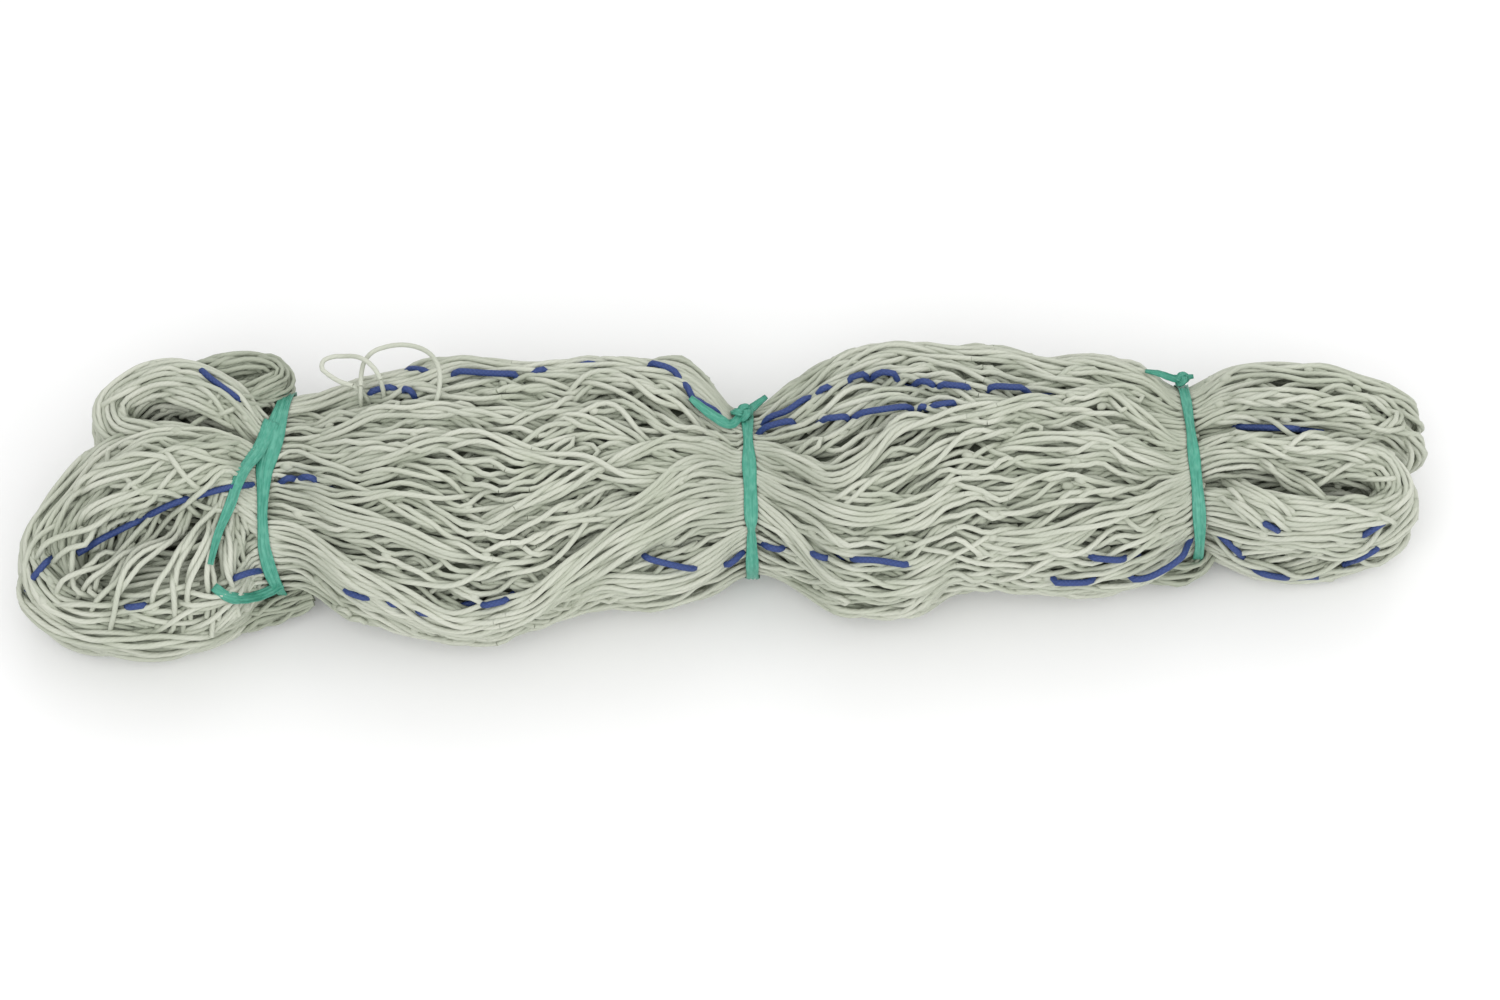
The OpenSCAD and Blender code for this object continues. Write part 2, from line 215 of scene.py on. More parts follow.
RIGHT_CORDS = [
    ([(0.015, 0.7), (0.05, 0.7), (0.09, 0.67), (0.136, 0.72), (0.25, 0.76), (0.32, 0.74), (0.4, 0.67),
      (0.467, 0.63),
      (0.52, 0.61), (0.62, 0.65), (0.69, 0.76)],
     [(0.04, 0.137), (0.155, 0.185), (0.225, 0.265), (0.285, 0.33), (0.38, 0.41), (0.425, 0.49),
      (0.54, 0.62)]),
    ([(0.015, 0.64), (0.06, 0.6), (0.115, 0.54), (0.217, 0.48), (0.285, 0.48), (0.36, 0.5), (0.427, 0.49),
      (0.52, 0.52),
      (0.6, 0.55)],
     [(0.03, 0.1), (0.165, 0.22), (0.24, 0.36), (0.383, 0.395), (0.41, 0.46)]),
    ([(0.01, -0.6), (0.05, -0.65), (0.13, -0.63), (0.25, -0.57), (0.35, -0.6), (0.45, -0.72), (0.5, -0.75)],
     [(0.03, 0.07), (0.14, 0.17), (0.235, 0.35)]),
    ([(0.62, -0.87), (0.68, -0.875), (0.765, -0.87), (0.83, -0.86), (0.88, -0.86), (0.92, -0.82),
      (0.95, -0.76), (0.985, -0.7)],
     [(0.68, 0.765), (0.85, 0.965)]),
    ([(0.66, -0.6), (0.72, -0.66), (0.8, -0.7), (0.87, -0.72)], [(0.76, 0.83)]),
]
# Locks over the folded ends: width, strands, lift, and the line as x and slanting height in millimetres.
LEFT_END_LOCKS = [
    (10, 6, 2.0, [(-222, 14), (-245, 15), (-275, 13), (-305, 4), (-330, -10)]),
    (9, 5, 2.0, [(-222, 6), (-248, 6), (-278, 0), (-306, -12), (-328, -28)]),
    (7, 4, 1.5, [(-226, 30), (-248, 36), (-268, 46), (-284, 50), (-299, 44)]),
    (8, 5, 2.5, [(-342, -36), (-346, -52), (-334, -68), (-310, -80), (-280, -80), (-250, -70), (-230, -58)]),
    (6, 4, 2.0, [(-226, -14), (-232, -26), (-240, -40), (-246, -54)]),
]
RIGHT_END_LOCKS = [
    (9, 5, 3.0, [(240, 12), (252, 4), (268, -8), (284, -20), (298, -27)]),
    (8, 4, 2.6, [(238, 2), (250, -6), (266, -18), (280, -30)]),
    (7, 4, 2.6, [(252, 20), (268, 14), (284, 4), (298, -6), (312, -16)]),
    (8, 4, 2.0, [(240, 24), (262, 21), (290, 20), (318, 16), (338, 6)]),
    (7, 4, 2.0, [(240, 40), (262, 44), (290, 44), (316, 38), (340, 26)]),
]
# The same on the folded ends, as x and slanting height in millimetres, and stretches as shares of the line.
LEFT_END_CORDS = [
    ([(-268, 62), (-261, 59), (-255, 54), (-248, 49), (-241, 44), (-235, 39)], [(0.2, 0.85)]),
    ([(-318, -33), (-306, -26), (-286, -16), (-266, -7), (-251, -3), (-236, 0), (-225, 1)],
     [(0.1, 0.36), (0.39, 0.63), (0.66, 0.98)]),
    ([(-345, -52), (-341, -46), (-333, -37), (-327, -30)], [(0.25, 0.75)]),
    ([(-245, -47), (-238, -45), (-228, -42), (-221, -41)], [(0.25, 0.85)]),
    ([(-300, -58), (-292, -59), (-283, -58), (-275, -55)], [(0.3, 0.7)]),
]
RIGHT_END_CORDS = [
    ([(250, 31), (259, 30), (272, 29.5), (285, 29), (300, 27)], [(0.15, 0.72)]),
    ([(243, -20), (246, -24), (251, -29), (256, -33), (262, -38), (269, -43), (278, -45), (300, -45)],
     [(0.08, 0.32), (0.5, 0.75)]),
    ([(262, -15), (267, -18), (275, -22), (281, -26)], [(0.2, 0.7)]),
    ([(314, -27), (320, -23), (326, -19), (333, -15)], [(0.25, 0.8)]),
    ([(312, -39), (318, -36), (326, -31), (331, -27)], [(0.25, 0.8)]),
]

# How far each tie's tape leans along the hank, at heights across the upper front face.
LEANS = {
    1: [(-1, 0), (-0.91, -2), (-0.7, -5), (-0.52, -7), (-0.2, -8), (0.23, -8), (0.64, -4), (1, 0)],
    2: [(-1, 2), (0, 1), (1, -1)],
    3: [(-1, 3), (0, 0), (1, -3)],
}
LOOP_LEFT = [(-184, 42, 82), (-190, 44, 82), (-196, 48, 82), (-200, 52, 82), (-200, 56, 82), (-196, 58, 83),
             (-189, 58, 84), (-183, 56, 87), (-177, 52, 89), (-172, 47, 87), (-170, 43, 86)]
LOOP_RIGHT = [(-180, 41, 83), (-180, 48, 83), (-179, 54, 84), (-175, 59, 86), (-168, 61, 88),
              (-160, 61, 90), (-152, 59, 91), (-146, 55, 92), (-142, 49, 93), (-140, 42, 93),
              (-140, 36, 92), (-141, 31, 89), (-143, 27, 86)]
# The netting's own twine from inside the hank up to each end of those loops.
LOOP_ROOTS = [
    [(-174, 36, 66), (-176, 37, 73), (-179, 39.5, 79), (-184, 42, 82)],
    [(-170, 43, 86), (-169, 40, 83), (-168.5, 37, 76), (-169, 35, 66)],
    [(-179, 34, 66), (-180, 35, 74), (-180, 37, 80), (-180, 41, 83)],
    [(-143, 27, 86), (-144, 24.5, 83), (-145, 22, 76)],
]
LOOP_R = 1.2

# Folded ends of the hank: each is a thick loop of netting that leaves its tie and turns back to it.
# Rows along its middle line: x, y, z, half size in the plane of the turn, half size across that plane.
LEFT_MAIN_LOOP = [
    (-215, -2, 38, 16, 28), (-240, 2, 42, 24, 38), (-268, 0, 43, 30, 42), (-294, -4, 42, 32, 41),
    (-311, -16, 38, 30, 37), (-324, -36, 32, 27, 31), (-318, -49, 30, 24, 29), (-300, -55, 31, 23, 30),
    (-275, -56, 35, 24, 35), (-250, -49, 36, 22, 33), (-230, -38, 37, 16, 25), (-215, -31, 38, 12, 21),
]
LEFT_BACK_LOOP = [
    (-217, 20, 40, 9, 24), (-236, 31, 44, 12, 32), (-254, 43, 46, 15, 37), (-274, 50, 46, 16, 38),
    (-292, 47, 44, 16, 35), (-304, 37, 42, 14, 33), (-301, 26, 42, 13, 33), (-286, 19, 43, 12, 35),
    (-264, 14, 43, 12, 36), (-240, 8, 42, 11, 34), (-217, 6, 38, 10, 26),
]
# A fold that hangs back over the first tie, and slack netting under the first and third ties.
LEFT_OVERHANG = [
    (-250, 36, 46, 7, 20), (-240, 43, 48, 8, 23), (-229, 50, 48, 8, 23), (-223, 58, 47, 7, 21),
    (-226, 64, 47, 7, 21), (-238, 64, 47, 8, 24), (-252, 60, 46, 10, 28), (-270, 55, 45, 9, 26),
    (-286, 50, 42, 7, 18),
]
LEFT_POCKET = [
    (-268, -54, 18, 6, 10), (-250, -55, 17, 6, 10), (-234, -52, 17, 6, 9), (-224, -49, 17, 5.5, 9),
    (-214, -46, 18, 5, 8), (-206, -43, 22, 4, 6),
]
RIGHT_POCKET = [
    (202, -27, 26, 4, 6), (212, -29, 21, 5, 8), (224, -30, 19, 5.5, 10), (236, -26, 19, 5.5, 9),
    (243, -18, 24, 4, 7),
]
RIGHT_BACK_LOOP = [
    (231, 38, 50, 13, 18), (250, 43, 57, 17, 21), (280, 45, 59, 18, 22), (310, 44, 56, 18, 21),
    (333, 40, 47, 17, 19), (341, 38, 37, 16, 18), (334, 38, 27, 16, 19), (305, 42, 21, 17, 21),
    (275, 44, 20, 17, 21), (250, 42, 22, 16, 20), (231, 36, 26, 12, 17),
]
RIGHT_FRONT_LOOP = [
    (231, 8, 38, 14, 27), (250, 12, 40, 15, 33), (280, 13, 38, 15, 36), (311, 13, 37, 15, 33),
    (331, 8, 35, 13, 28), (337, -3, 34, 12, 25), (329, -12, 33, 12, 26), (310, -18, 34, 13, 30),
    (280, -19, 36, 15, 34), (255, -15, 38, 14, 30), (231, -8, 38, 10, 20),
]


def smooth(xs, ys, x):
    """Smooth curve through points, sampled at x."""
    xs, ys, x = (np.asarray(v, float) for v in (xs, ys, x))
    slope = np.gradient(ys, xs)
    i = np.clip(np.searchsorted(xs, x) - 1, 0, len(xs) - 2)
    h = xs[i + 1] - xs[i]
    t = (x - xs[i]) / h
    a = (1 + 2 * t) * (1 - t) ** 2 * ys[i] + t * (1 - t) ** 2 * h * slope[i]
    return a + t * t * (3 - 2 * t) * ys[i + 1] + t * t * (t - 1) * h * slope[i + 1]


def unit(v):
    return v / np.maximum(np.linalg.norm(v, axis=-1, keepdims=True), 1e-9)


def ease(t):
    t = np.clip(t, 0, 1)
    return t * t * (3 - 2 * t)


def square_to(v, along):
    """The part of v, one direction or one a row, that stands square to each row of along."""
    v = np.broadcast_to(v, along.shape)
    return unit(v - along * np.einsum("ij,ij->i", v, along)[:, None])


def route(rows, step=STEP):
    """A smooth line through rows of coordinates, sampled at even steps."""
    rows = np.array(rows, float)
    far = np.concatenate([[0], np.cumsum(np.linalg.norm(np.diff(rows[:, :3], axis=0), axis=1))])
    s = np.linspace(0, far[-1], max(int(far[-1] / step), 3) + 1)
    return np.stack([smooth(far, rows[:, k], s) for k in range(rows.shape[1])], -1), s


def wander(rng, x, count, longest, shortest, height, share=0, twist=2):
    """A sum of random sine waves along x and round the hank: how far a strand strays from its line."""
    length = rng.uniform(shortest, longest, count)
    total = 0
    for k in range(count):
        tall, turns, start = height * rng.uniform(0.5, 1), rng.integers(-twist, twist + 1), rng.uniform(0,
                                                                                                        tau)
        total = total + tall * np.sin(tau * (1 / length[k] * x + turns * share) + start)
    return total


def round_length(a, b):
    """Length round a section of half sizes a and b."""
    return tau * np.sqrt((a * a + b * b) / 2)


def looseness(t):
    """How free strands are at shares of the way between ties: 0 in a tie, 1 halfway."""
    return np.sin(pi * np.clip(t, 0.002, 0.998)) ** 0.4


# --- the hank's outline: a rounded box shape, with places round it evenly spaced from 0 to 1 ---
def even_outline(power=SQUARENESS, wide=1.6, count=1440):
    """Across, up and share of the way round, starting at the back and going over the top."""
    angle = np.linspace(0, tau, count)
    c, s = np.cos(angle), np.sin(angle)
    across = np.sign(c) * np.abs(c) ** (2 / power)
    up = np.sign(s) * np.abs(s) ** (2 / power)
    far = np.concatenate([[0], np.cumsum(np.hypot(np.diff(across) * wide, np.diff(up)))])
    return across, up, far / far[-1]


OUT_ACROSS, OUT_UP, OUT_SHARE = even_outline()
FACE_HEIGHT = OUT_ACROSS * 1.6 * sin(LOOK_DOWN) + OUT_UP * cos(LOOK_DOWN)
FACE_TOP, FACE_FOOT = int(FACE_HEIGHT.argmax()), int(FACE_HEIGHT.argmin())


def outline(share):
    """Across and up, each from -1 to 1, at a share of the way round."""
    share = np.mod(share, 1)
    return np.interp(share, OUT_SHARE, OUT_ACROSS), np.interp(share, OUT_SHARE, OUT_UP)


def face(height):
    """Share of the way round at a height across the upper front face, from 1, far edge, to -1, near edge."""
    span = slice(FACE_TOP, FACE_FOOT + 1)
    heights = FACE_HEIGHT[span] / FACE_HEIGHT[FACE_TOP]
    return np.interp(-np.asarray(height, float), -heights, OUT_SHARE[span])


class Lobe:
    """The stretch of the hank between two ties."""

    deepest = np.inf

    def __init__(self, start, end, rows, stations, flow, creases):
        self.start, self.end, self.length, self.middle = start, end, end - start, (start + end) / 2
        self.rows, self.creases = np.array(rows, float), creases
        self.stations = np.array(stations)
        self.lines = np.concatenate([face(np.array(flow)), face(-1) + np.zeros((1, len(stations)))])
        self.marks = self.lines.mean(1)

    def section(self, x):
        """Middle y, half width, half height and middle z."""
        share = (x - self.start) / self.length
        y, a, b, under = (smooth(self.rows[:, 0], self.rows[:, k], share) for k in (1, 2, 3, 4))
        return y, a, b, b + under

    def stretch(self, x):
        """Share of the way along, length round the lobe and looseness."""
        y, a, b, z = self.section(x)
        t = (x - self.start) / self.length
        return t, round_length(a, b), looseness(t)

    def run(self):
        x = np.linspace(self.start - 3, self.end + 3, int(self.length / STEP) + 2)
        t, around, swell = self.stretch(x)
        return x, x, around, swell

    def flow(self, u, x):
        """Shares of the way round at every x of strands that keep their order u in the folds."""
        share = (x - self.start) / self.length
        lines = np.stack([smooth(self.stations, line, share) for line in self.lines])
        lines = np.concatenate([lines, lines[:1] + 1])
        marks = np.concatenate([self.marks, self.marks[:1] + 1])
        u = np.mod(u - marks[0], 1) + marks[0]
        k = np.clip(np.searchsorted(marks, u) - 1, 0, len(marks) - 2)
        w = ((u - marks[k]) / (marks[k + 1] - marks[k]))[:, None]
        return lines[k] * (1 - w) + lines[k + 1] * w

    def dip(self, rng, layer, x, share, depth):
        """Depth with the valleys between folds added."""
        t, around, swell = self.stretch(x)
        depth = depth + swell * wander(rng, x, 5, 130, 55, 0.9, share, 9)
        valleys = np.zeros_like(share)
        for deep, line in self.creases:
            line = np.array(line, float)
            inside = ease((t - line[0, 0]) / 0.06) * ease((line[-1, 0] - t) / 0.06)
            middle = smooth(line[:, 0], face(line[:, 1]), np.clip(t, line[0, 0], line[-1, 0]))
            valleys = valleys + 0.8 * deep * inside * np.exp(-(((share - middle) * around / 5.0) ** 2))
        return depth + valleys + (1 - swell) * 1.6 * layer

    def place(self, x, share, depth):
        """Points at x, a share of the way round and a depth below the surface, and the way out from there."""
        y, a, b, z = self.section(x)
        across, up = outline(share)
        points = np.stack([x + 0 * share, y + (a - depth) * across, z + (b - depth) * up], -1)
        return points, unit(np.stack([0 * share, across * b, up * a], -1))


class Loop:
    """A thick loop of netting at a folded end. plane is the direction across its turn."""

    start = 0

    def __init__(self, rows, plane, hollow=0.0):
        line, self.s = route(rows)
        self.line, self.w, self.h = line[:, :3], line[:, 3], line[:, 4]
        self.plane, self.hollow, self.deepest = plane, hollow, self.w - 1
        self.along = unit(np.gradient(self.line, self.s, axis=0))
        self.side = unit(np.cross(plane, self.along))
        bend = np.einsum("ij,ij->i", np.gradient(self.along, self.s, axis=0), self.side)
        self.inward = np.sign(bend)
        self.room = 0.8 / np.maximum(np.abs(bend), 1e-3)
        self.around = round_length(self.w, self.h)

    def run(self):
        return self.s, np.arange(len(self.s)), self.around, looseness(self.s / self.s[-1])

    def flow(self, u, s):
        return np.repeat(u[:, None], len(s), 1)

    def dip(self, rng, layer, s, share, depth):
        """Depth with the hollow under the drawn out mesh added."""
        t = s / s[-1]
        way_round = np.exp(-(((np.mod(share, 1) - 0.23) / 0.12) ** 4))
        return depth + self.hollow * (ease((t - 0.5) / 0.08) * ease((0.97 - t) / 0.06) * way_round)

    def place(self, k, share, depth):
        """Points at steps k of the loop, a share of the way round its section and a depth below it."""
        across, up = outline(share)
        sideways = (self.w[k] - depth) * across
        near = np.sign(sideways) * np.minimum(np.abs(sideways), self.room[k])
        sideways = np.where(self.inward[k] * sideways > 0, near, sideways)
        lift = (self.h[k] - depth) * up
        points = self.line[k] + self.side[k] * sideways[:, None] + self.plane * lift[:, None]
        tilt = self.side[k] * (across * self.h[k])[:, None] + self.plane * (up * self.w[k])[:, None]
        return points, unit(tilt)


LEVEL, UPRIGHT = np.array([0.0, 0, 1]), np.array([0.0, 1, 0])
left_middle = Lobe(TIE_1[0], TIE_2[0], LEFT_MIDDLE, LEFT_STATIONS, LEFT_FLOW, LEFT_CREASES)
right_middle = Lobe(TIE_2[0], TIE_3[0], RIGHT_MIDDLE, RIGHT_STATIONS, RIGHT_FLOW, RIGHT_CREASES)
left_main_loop = Loop(LEFT_MAIN_LOOP, LEVEL, hollow=13)
left_back_loop = Loop(LEFT_BACK_LOOP, LEVEL)
right_back_loop = Loop(RIGHT_BACK_LOOP, UPRIGHT)
right_front_loop = Loop(RIGHT_FRONT_LOOP, LEVEL)

# --- strands of netting, before they are made into tubes, and their knots ---
Strand = namedtuple("Strand", "points out tone group radius fixed outside")
strands, knots = [], []


def add(points, out, tone, group, radius=TWINE_R, fixed=False, outside=False):
    """A strand along points. fixed ones stay put, and outside ones aren't held inside the tape of a tie."""
    strands.append(Strand(points, np.broadcast_to(out, points.shape), tone, group, radius, fixed, outside))


def pull_knots(share, depth, x, around, rng, first, skew):
    """Draws neighbouring strands together at each knot, by turns with the one on either side.

    Returns the new shares and depths, and the knots as (strand, its neighbour, step)."""
    new_share, new_depth = share.copy(), depth.copy()
    count = len(share)
    found = []
    row = 0
    while first + row * MESH_BAR < x[-1] - 8:
        i = np.arange(row % 2, count, 2)
        j = (i + 1) % count
        over = share[j] + np.round(share[i] - share[j])
        at = first + row * MESH_BAR + skew[i] + rng.normal(0, 4.5, len(i))
        draw = np.exp(-(((x - at[:, None]) / 7.0) ** 2))
        middle, level = (share[i] + over) / 2, (depth[i] + depth[j]) / 2
        half = TWINE_R / around
        new_share[i] += draw * (middle - half - share[i])
        new_share[j] += draw * (middle + half - over)
        new_depth[i] += draw * (level - depth[i])
        new_depth[j] += draw * (level - depth[j])
        inside = (at > x[0] + 12) & (at < x[-1] - 12)
        found += [(a, b, int(np.abs(x - c).argmin())) for a, b, c in zip(i[inside], j[inside], at[inside])]
        row += 1
    return new_share, new_depth, found


# How netting is laid. drift, ripple and lift give waves: their number, longest, shortest and height. slack is
# the height of the drift and what each layer down adds; locks are how many lie round the shape, how many more
# the next layers have and after how many layers that starts again.
STYLE_VALUES = "drift slack twist ripple ripple_twist locks gather deep bulge skew side crinkle lift tight"
Style = namedtuple("Style", STYLE_VALUES)
LOBE_STYLE = Style(
    drift=(4, 190, 80), slack=(3.0, 2.5), twist=3, ripple=(5, 90, 45, 1.7), ripple_twist=14, locks=(11, 3, 3),
    gather=(0.25, 0.1), deep=SNUG, bulge=1.5, skew=7, side=2.3, crinkle=1.05, lift=(3, 100, 36, 1.7),
    tight=0.5,
)
LOOP_STYLE = Style(
    drift=(4, 180, 80), slack=(3.0, 2), twist=2, ripple=(4, 90, 45, 1.5), ripple_twist=7, locks=(6, 2, 2),
    gather=(0.45, 0), deep=SNUG - 1, bulge=1.3, skew=5, side=1.4, crinkle=0.45, lift=(3, 100, 40, 1.1),
    tight=1,
)


def fill(shape, style, group, seed, layers, count, outside=False):
    """Layers of netting round a lobe or loop, gathered into locks and knotted to their neighbours."""
    rng = np.random.default_rng(seed)
    s, where, around, swell = shape.run()
    crumple = 2.2 if outside else 1
    for layer in range(layers):
        start = (np.arange(count) + 0.5 * (layer % 2)) / count + rng.normal(0, 0.2 / count, count)
        share = shape.flow(start, s)
        drift = wander(rng, s, *style.drift, style.slack[0] + style.slack[1] * layer, share, style.twist)
        drift = drift + wander(rng, s, *style.ripple, share, style.ripple_twist)
        share = share + swell * drift / around
        locks = style.locks[0] + style.locks[1] * (layer % style.locks[2])
        sway = rng.uniform(), rng.uniform(120, 200), rng.uniform(0, tau)
        turn = locks * share + sway[0] + 0.4 * np.sin(tau * s / sway[1] + sway[2])
        gather = (style.gather[0] + style.gather[1] * layer) / (tau * locks)
        share = share - swell * gather * np.sin(tau * turn)
        depth = style.deep + layer * LAYER_DEPTH - swell * style.bulge * np.cos(tau * turn)
        depth = shape.dip(rng, layer, s, share, depth)
        phase = rng.uniform(), rng.uniform()
        skew = 9 * np.sin(tau * (2 * start + phase[0])) + 7 * np.sin(tau * (style.skew * start + phase[1]))
        share, depth, found = pull_knots(share, depth, s, around, rng, shape.start - rng.uniform(5, 40), skew)
        base = len(strands)
        for k in range(count):
            side = wander(rng, s, 3, 90, 34, style.side) + wander(rng, s, 2, 26, 15, style.crinkle)
            side, lift = crumple * swell**style.tight * side, crumple * swell * wander(rng, s, *style.lift)
            deep = np.clip(depth[k] + lift, 0.8, shape.deepest)
            points, out = shape.place(where, share[k] + side / around, deep)
            add(points, out, rng.uniform(-1, 1), group, outside=outside)
        if layer < 2:
            knots.extend((base + i, base + j, at) for i, j, at in found)


def fill_loop(loop, group, seed, layers=3, outside=False):
    fill(loop, LOOP_STYLE, group, seed, layers, 2 * int(loop.around.mean() / 8.8), outside)


def lay_locks(lobe, locks, group, seed):
    """Locks of strands that lie over the rest; an end that is not at a tie dives under its neighbours."""
    rng = np.random.default_rng(seed)
    for width, count, lift, line in locks:
        line = np.array(line, float)
        first, last = line[0, 0], line[-1, 0]
        steps = int((last - first) * lobe.length / STEP)
        x = np.linspace(lobe.start + first * lobe.length, lobe.start + last * lobe.length, steps)
        t, around, swell = lobe.stretch(x)
        middle = smooth(line[:, 0], face(line[:, 1]), t)
        dive = 8 * ((first > 0) * (1 - ease((x - x[0]) / 26)) + (last < 1) * (1 - ease((x[-1] - x) / 26)))
        for k in range(count):
            place = (k + 0.5) / count * 2 - 1 + rng.normal(0, 0.08)
            side = place * width / 2 * (0.8 + 0.2 * swell) + swell * wander(rng, x, 3, 100, 34, 1.6)
            crown = 1 - place * place
            deep = SNUG - 1 - swell * lift * (0.4 + 0.6 * crown) + dive
            deep = deep + swell * wander(rng, x, 2, 90, 40, 0.9)
            points, out = lobe.place(x, middle + side / around, deep)
            add(points, out, rng.uniform(-0.2, 1), group)


def lay_strays(lobe, count, group, seed):
    """Single strands that come up between the others, cross them at a slant and go under again."""
    rng = np.random.default_rng(seed)
    for _ in range(count):
        long = rng.uniform(28, 85)
        at = rng.uniform(lobe.start + 12, lobe.end - 12 - long)
        x = np.linspace(at, at + long, int(long / STEP))
        around = lobe.stretch(x)[1]
        t = np.linspace(0, 1, len(x))
        slant = np.clip(rng.normal(0, 0.26), -0.34, 0.34) * long
        share = lobe.flow(np.array([rng.uniform()]), x)[0]
        share = share + (slant * (ease(t) - 0.5) + wander(rng, x, 2, 80, 35, 2.0)) / around
        points, out = lobe.place(x, share, 1.6 + 7 * np.abs(2 * t - 1) ** 3)
        add(points, out, rng.uniform(0, 1), group)


def lay_curls(lobe, curls, group, seed):
    """Little slack loops of a mesh bar that stand up out of the folds."""
    rng = np.random.default_rng(seed)
    for t, height, turn in curls:
        long, wide = rng.uniform(9, 15), rng.uniform(2.2, 3.4)
        c, s = cos(radians(turn)), sin(radians(turn))
        flat = [((p * long * c - q * wide * s), (p * long * s + q * wide * c), d) for p, q, d in CURL]
        line, _ = route(flat, 2.0)
        x = lobe.start + t * lobe.length + line[:, 0]
        around = lobe.stretch(x)[1]
        points, out = lobe.place(x, face(height) - line[:, 1] / around, line[:, 2])
        add(points, out, rng.uniform(0, 1), group)


def crown(loops, x, y):
    """Height of the top of the folded end over points of the floor; -99 where nothing is."""
    best = np.full(np.shape(x), -99.0)
    for loop in loops:
        tall, wide = (loop.h, loop.w) if loop.plane[2] else (loop.w, loop.h)
        for k in range(0, len(loop.s), 2):
            far = np.hypot(x - loop.line[k, 0], y - loop.line[k, 1]) / wide[k]
            top = loop.line[k, 2] + tall[k] * (1 - np.minimum(far, 1) ** SQUARENESS) ** (1 / SQUARENESS)
            best = np.where(far < 1, np.maximum(best, top), best)
    return best


def slant_height(y, z):
    """Height of a point measured square to the line of sight, in millimetres."""
    return (y - SLANT_FROM) * sin(LOOK_DOWN) + (z - AIM.z / MM) * cos(LOOK_DOWN)


def on_end(loops, rows):
    """Points on the outside of a folded end, from rows of x and slanting height."""
    y = np.arange(-90, 90, 0.5)
    found = []
    for x, height in rows:
        z = crown(loops, x + 0 * y, y)
        miss = np.abs(slant_height(y, z) - height)
        nearness = -0.5 * y + 0.87 * z - np.where(z > -90, 0, 1e3) - 30 * np.maximum(miss - 0.6, 0)
        k = int(nearness.argmax())
        found.append((x, y[k], z[k]))
    return np.array(found)


def drape(cloud, rows, lift, reach=3.0):
    """Points that rest on a cloud of strand points, seen square on: rows of x and slanting height."""
    s60, c60 = sin(LOOK_DOWN), cos(LOOK_DOWN)
    high = slant_height(cloud[:, 1], cloud[:, 2])
    near = s60 * cloud[:, 2] - c60 * cloud[:, 1]
    rows = np.asarray(rows, float)
    tops = []
    for x, height in rows:
        gap = np.hypot(cloud[:, 0] - x, high - height)
        tops.append(near[gap < max(reach, gap.min() + 1)].max())
    pad = min(3, len(rows) - 1)
    top = even_out(tops, pad) + lift
    raised = rows[:, 1] + SLANT_FROM * s60 + AIM.z / MM * c60
    return np.stack([rows[:, 0], s60 * raised - c60 * top, c60 * raised + s60 * top], -1)


def even_out(values, pad=3):
    """Running mean over pad places to either side."""
    return np.convolve(np.pad(values, pad, mode="edge"), np.ones(2 * pad + 1) / (2 * pad + 1), mode="valid")


def lay_fan(group, seed, count=26):
    """The open mesh drawn out over the left fold: strands fan from near the tie and tuck in at the rim."""
    rng = np.random.default_rng(seed)
    step = 2.0
    t = (np.arange(count) + 0.5) / count
    tie_ends = left_middle.place(np.full(count, left_middle.start), face(0.1 - 0.6 * t**1.5), 2)[0]
    turn = radians(196) + radians(98) * t**0.9 + rng.normal(0, 0.035, count)
    hub_x = -244 + 8 * t**2 + rng.normal(0, 2.5, count)
    rng.normal(0, 1, count)  # not used: it keeps the order of the draws that follow
    far = np.arange(0, 130, step)
    lines = []
    for i in range(count):
        bow = turn[i] + 0.16 * np.sin(pi * np.minimum(far / 100, 1)) * (0.7 - t[i])
        x = hub_x[i] + np.concatenate([[0], np.cumsum(2 * np.cos(bow[1:]))])
        y = -4 - 12 * t[i] + np.concatenate([[0], np.cumsum(2 * np.sin(bow[1:]))])
        z = crown([left_main_loop], x, y)
        z[:10] = np.maximum(z[:10], 64)
        last = int(np.argmax(z < -90)) - 1 if (z < -90).any() else len(z) - 1
        x, y, z = x[: last + 1], y[: last + 1], z[: last + 1]
        taut = np.array([min(z[: n + 1].max(), z[n:].max()) for n in range(len(z))])
        taut = even_out(0.3 * z + 0.7 * taut) + 2.2
        edge = np.arange(last, -1, -1) * step
        taut = taut - 12 * (1 - ease((edge - rng.uniform(0, 14)) / 14))
        way = unit(np.array([x[-1] - x[0], y[-1] - y[0]]))
        lines.append((x, y, taut, np.array([-way[1], way[0]])))
    for i, (x, y, z, side) in enumerate(lines):
        s = np.arange(len(x)) * step
        sway = wander(rng, s, 2, 80, 34, 2.0) * ease(s / 20)
        for row in range(4):
            at = 20 + 17 * row + rng.normal(0, 2.5)
            mate = i + (1 if (i + row) % 2 == 0 else -1)
            if 0 <= mate < count and at < s[-1]:
                m = min(int(at / step), len(lines[mate][0]) - 1)
                gap = (lines[mate][0][m] - x[m]) * side[0] + (lines[mate][1][m] - y[m]) * side[1]
                sway = sway + np.exp(-(((s - at) / 6) ** 2)) * (gap / 2 - np.sign(gap) * TWINE_R)
        rows = np.stack([x + side[0] * sway, y + side[1] * sway, z], -1)[3::3]
        line, _ = route(np.concatenate([tie_ends[i : i + 1], rows]))
        along = unit(np.gradient(line, axis=0))
        add(line, square_to((0, -0.25, 1.0), along), rng.uniform(0.2, 1), group)


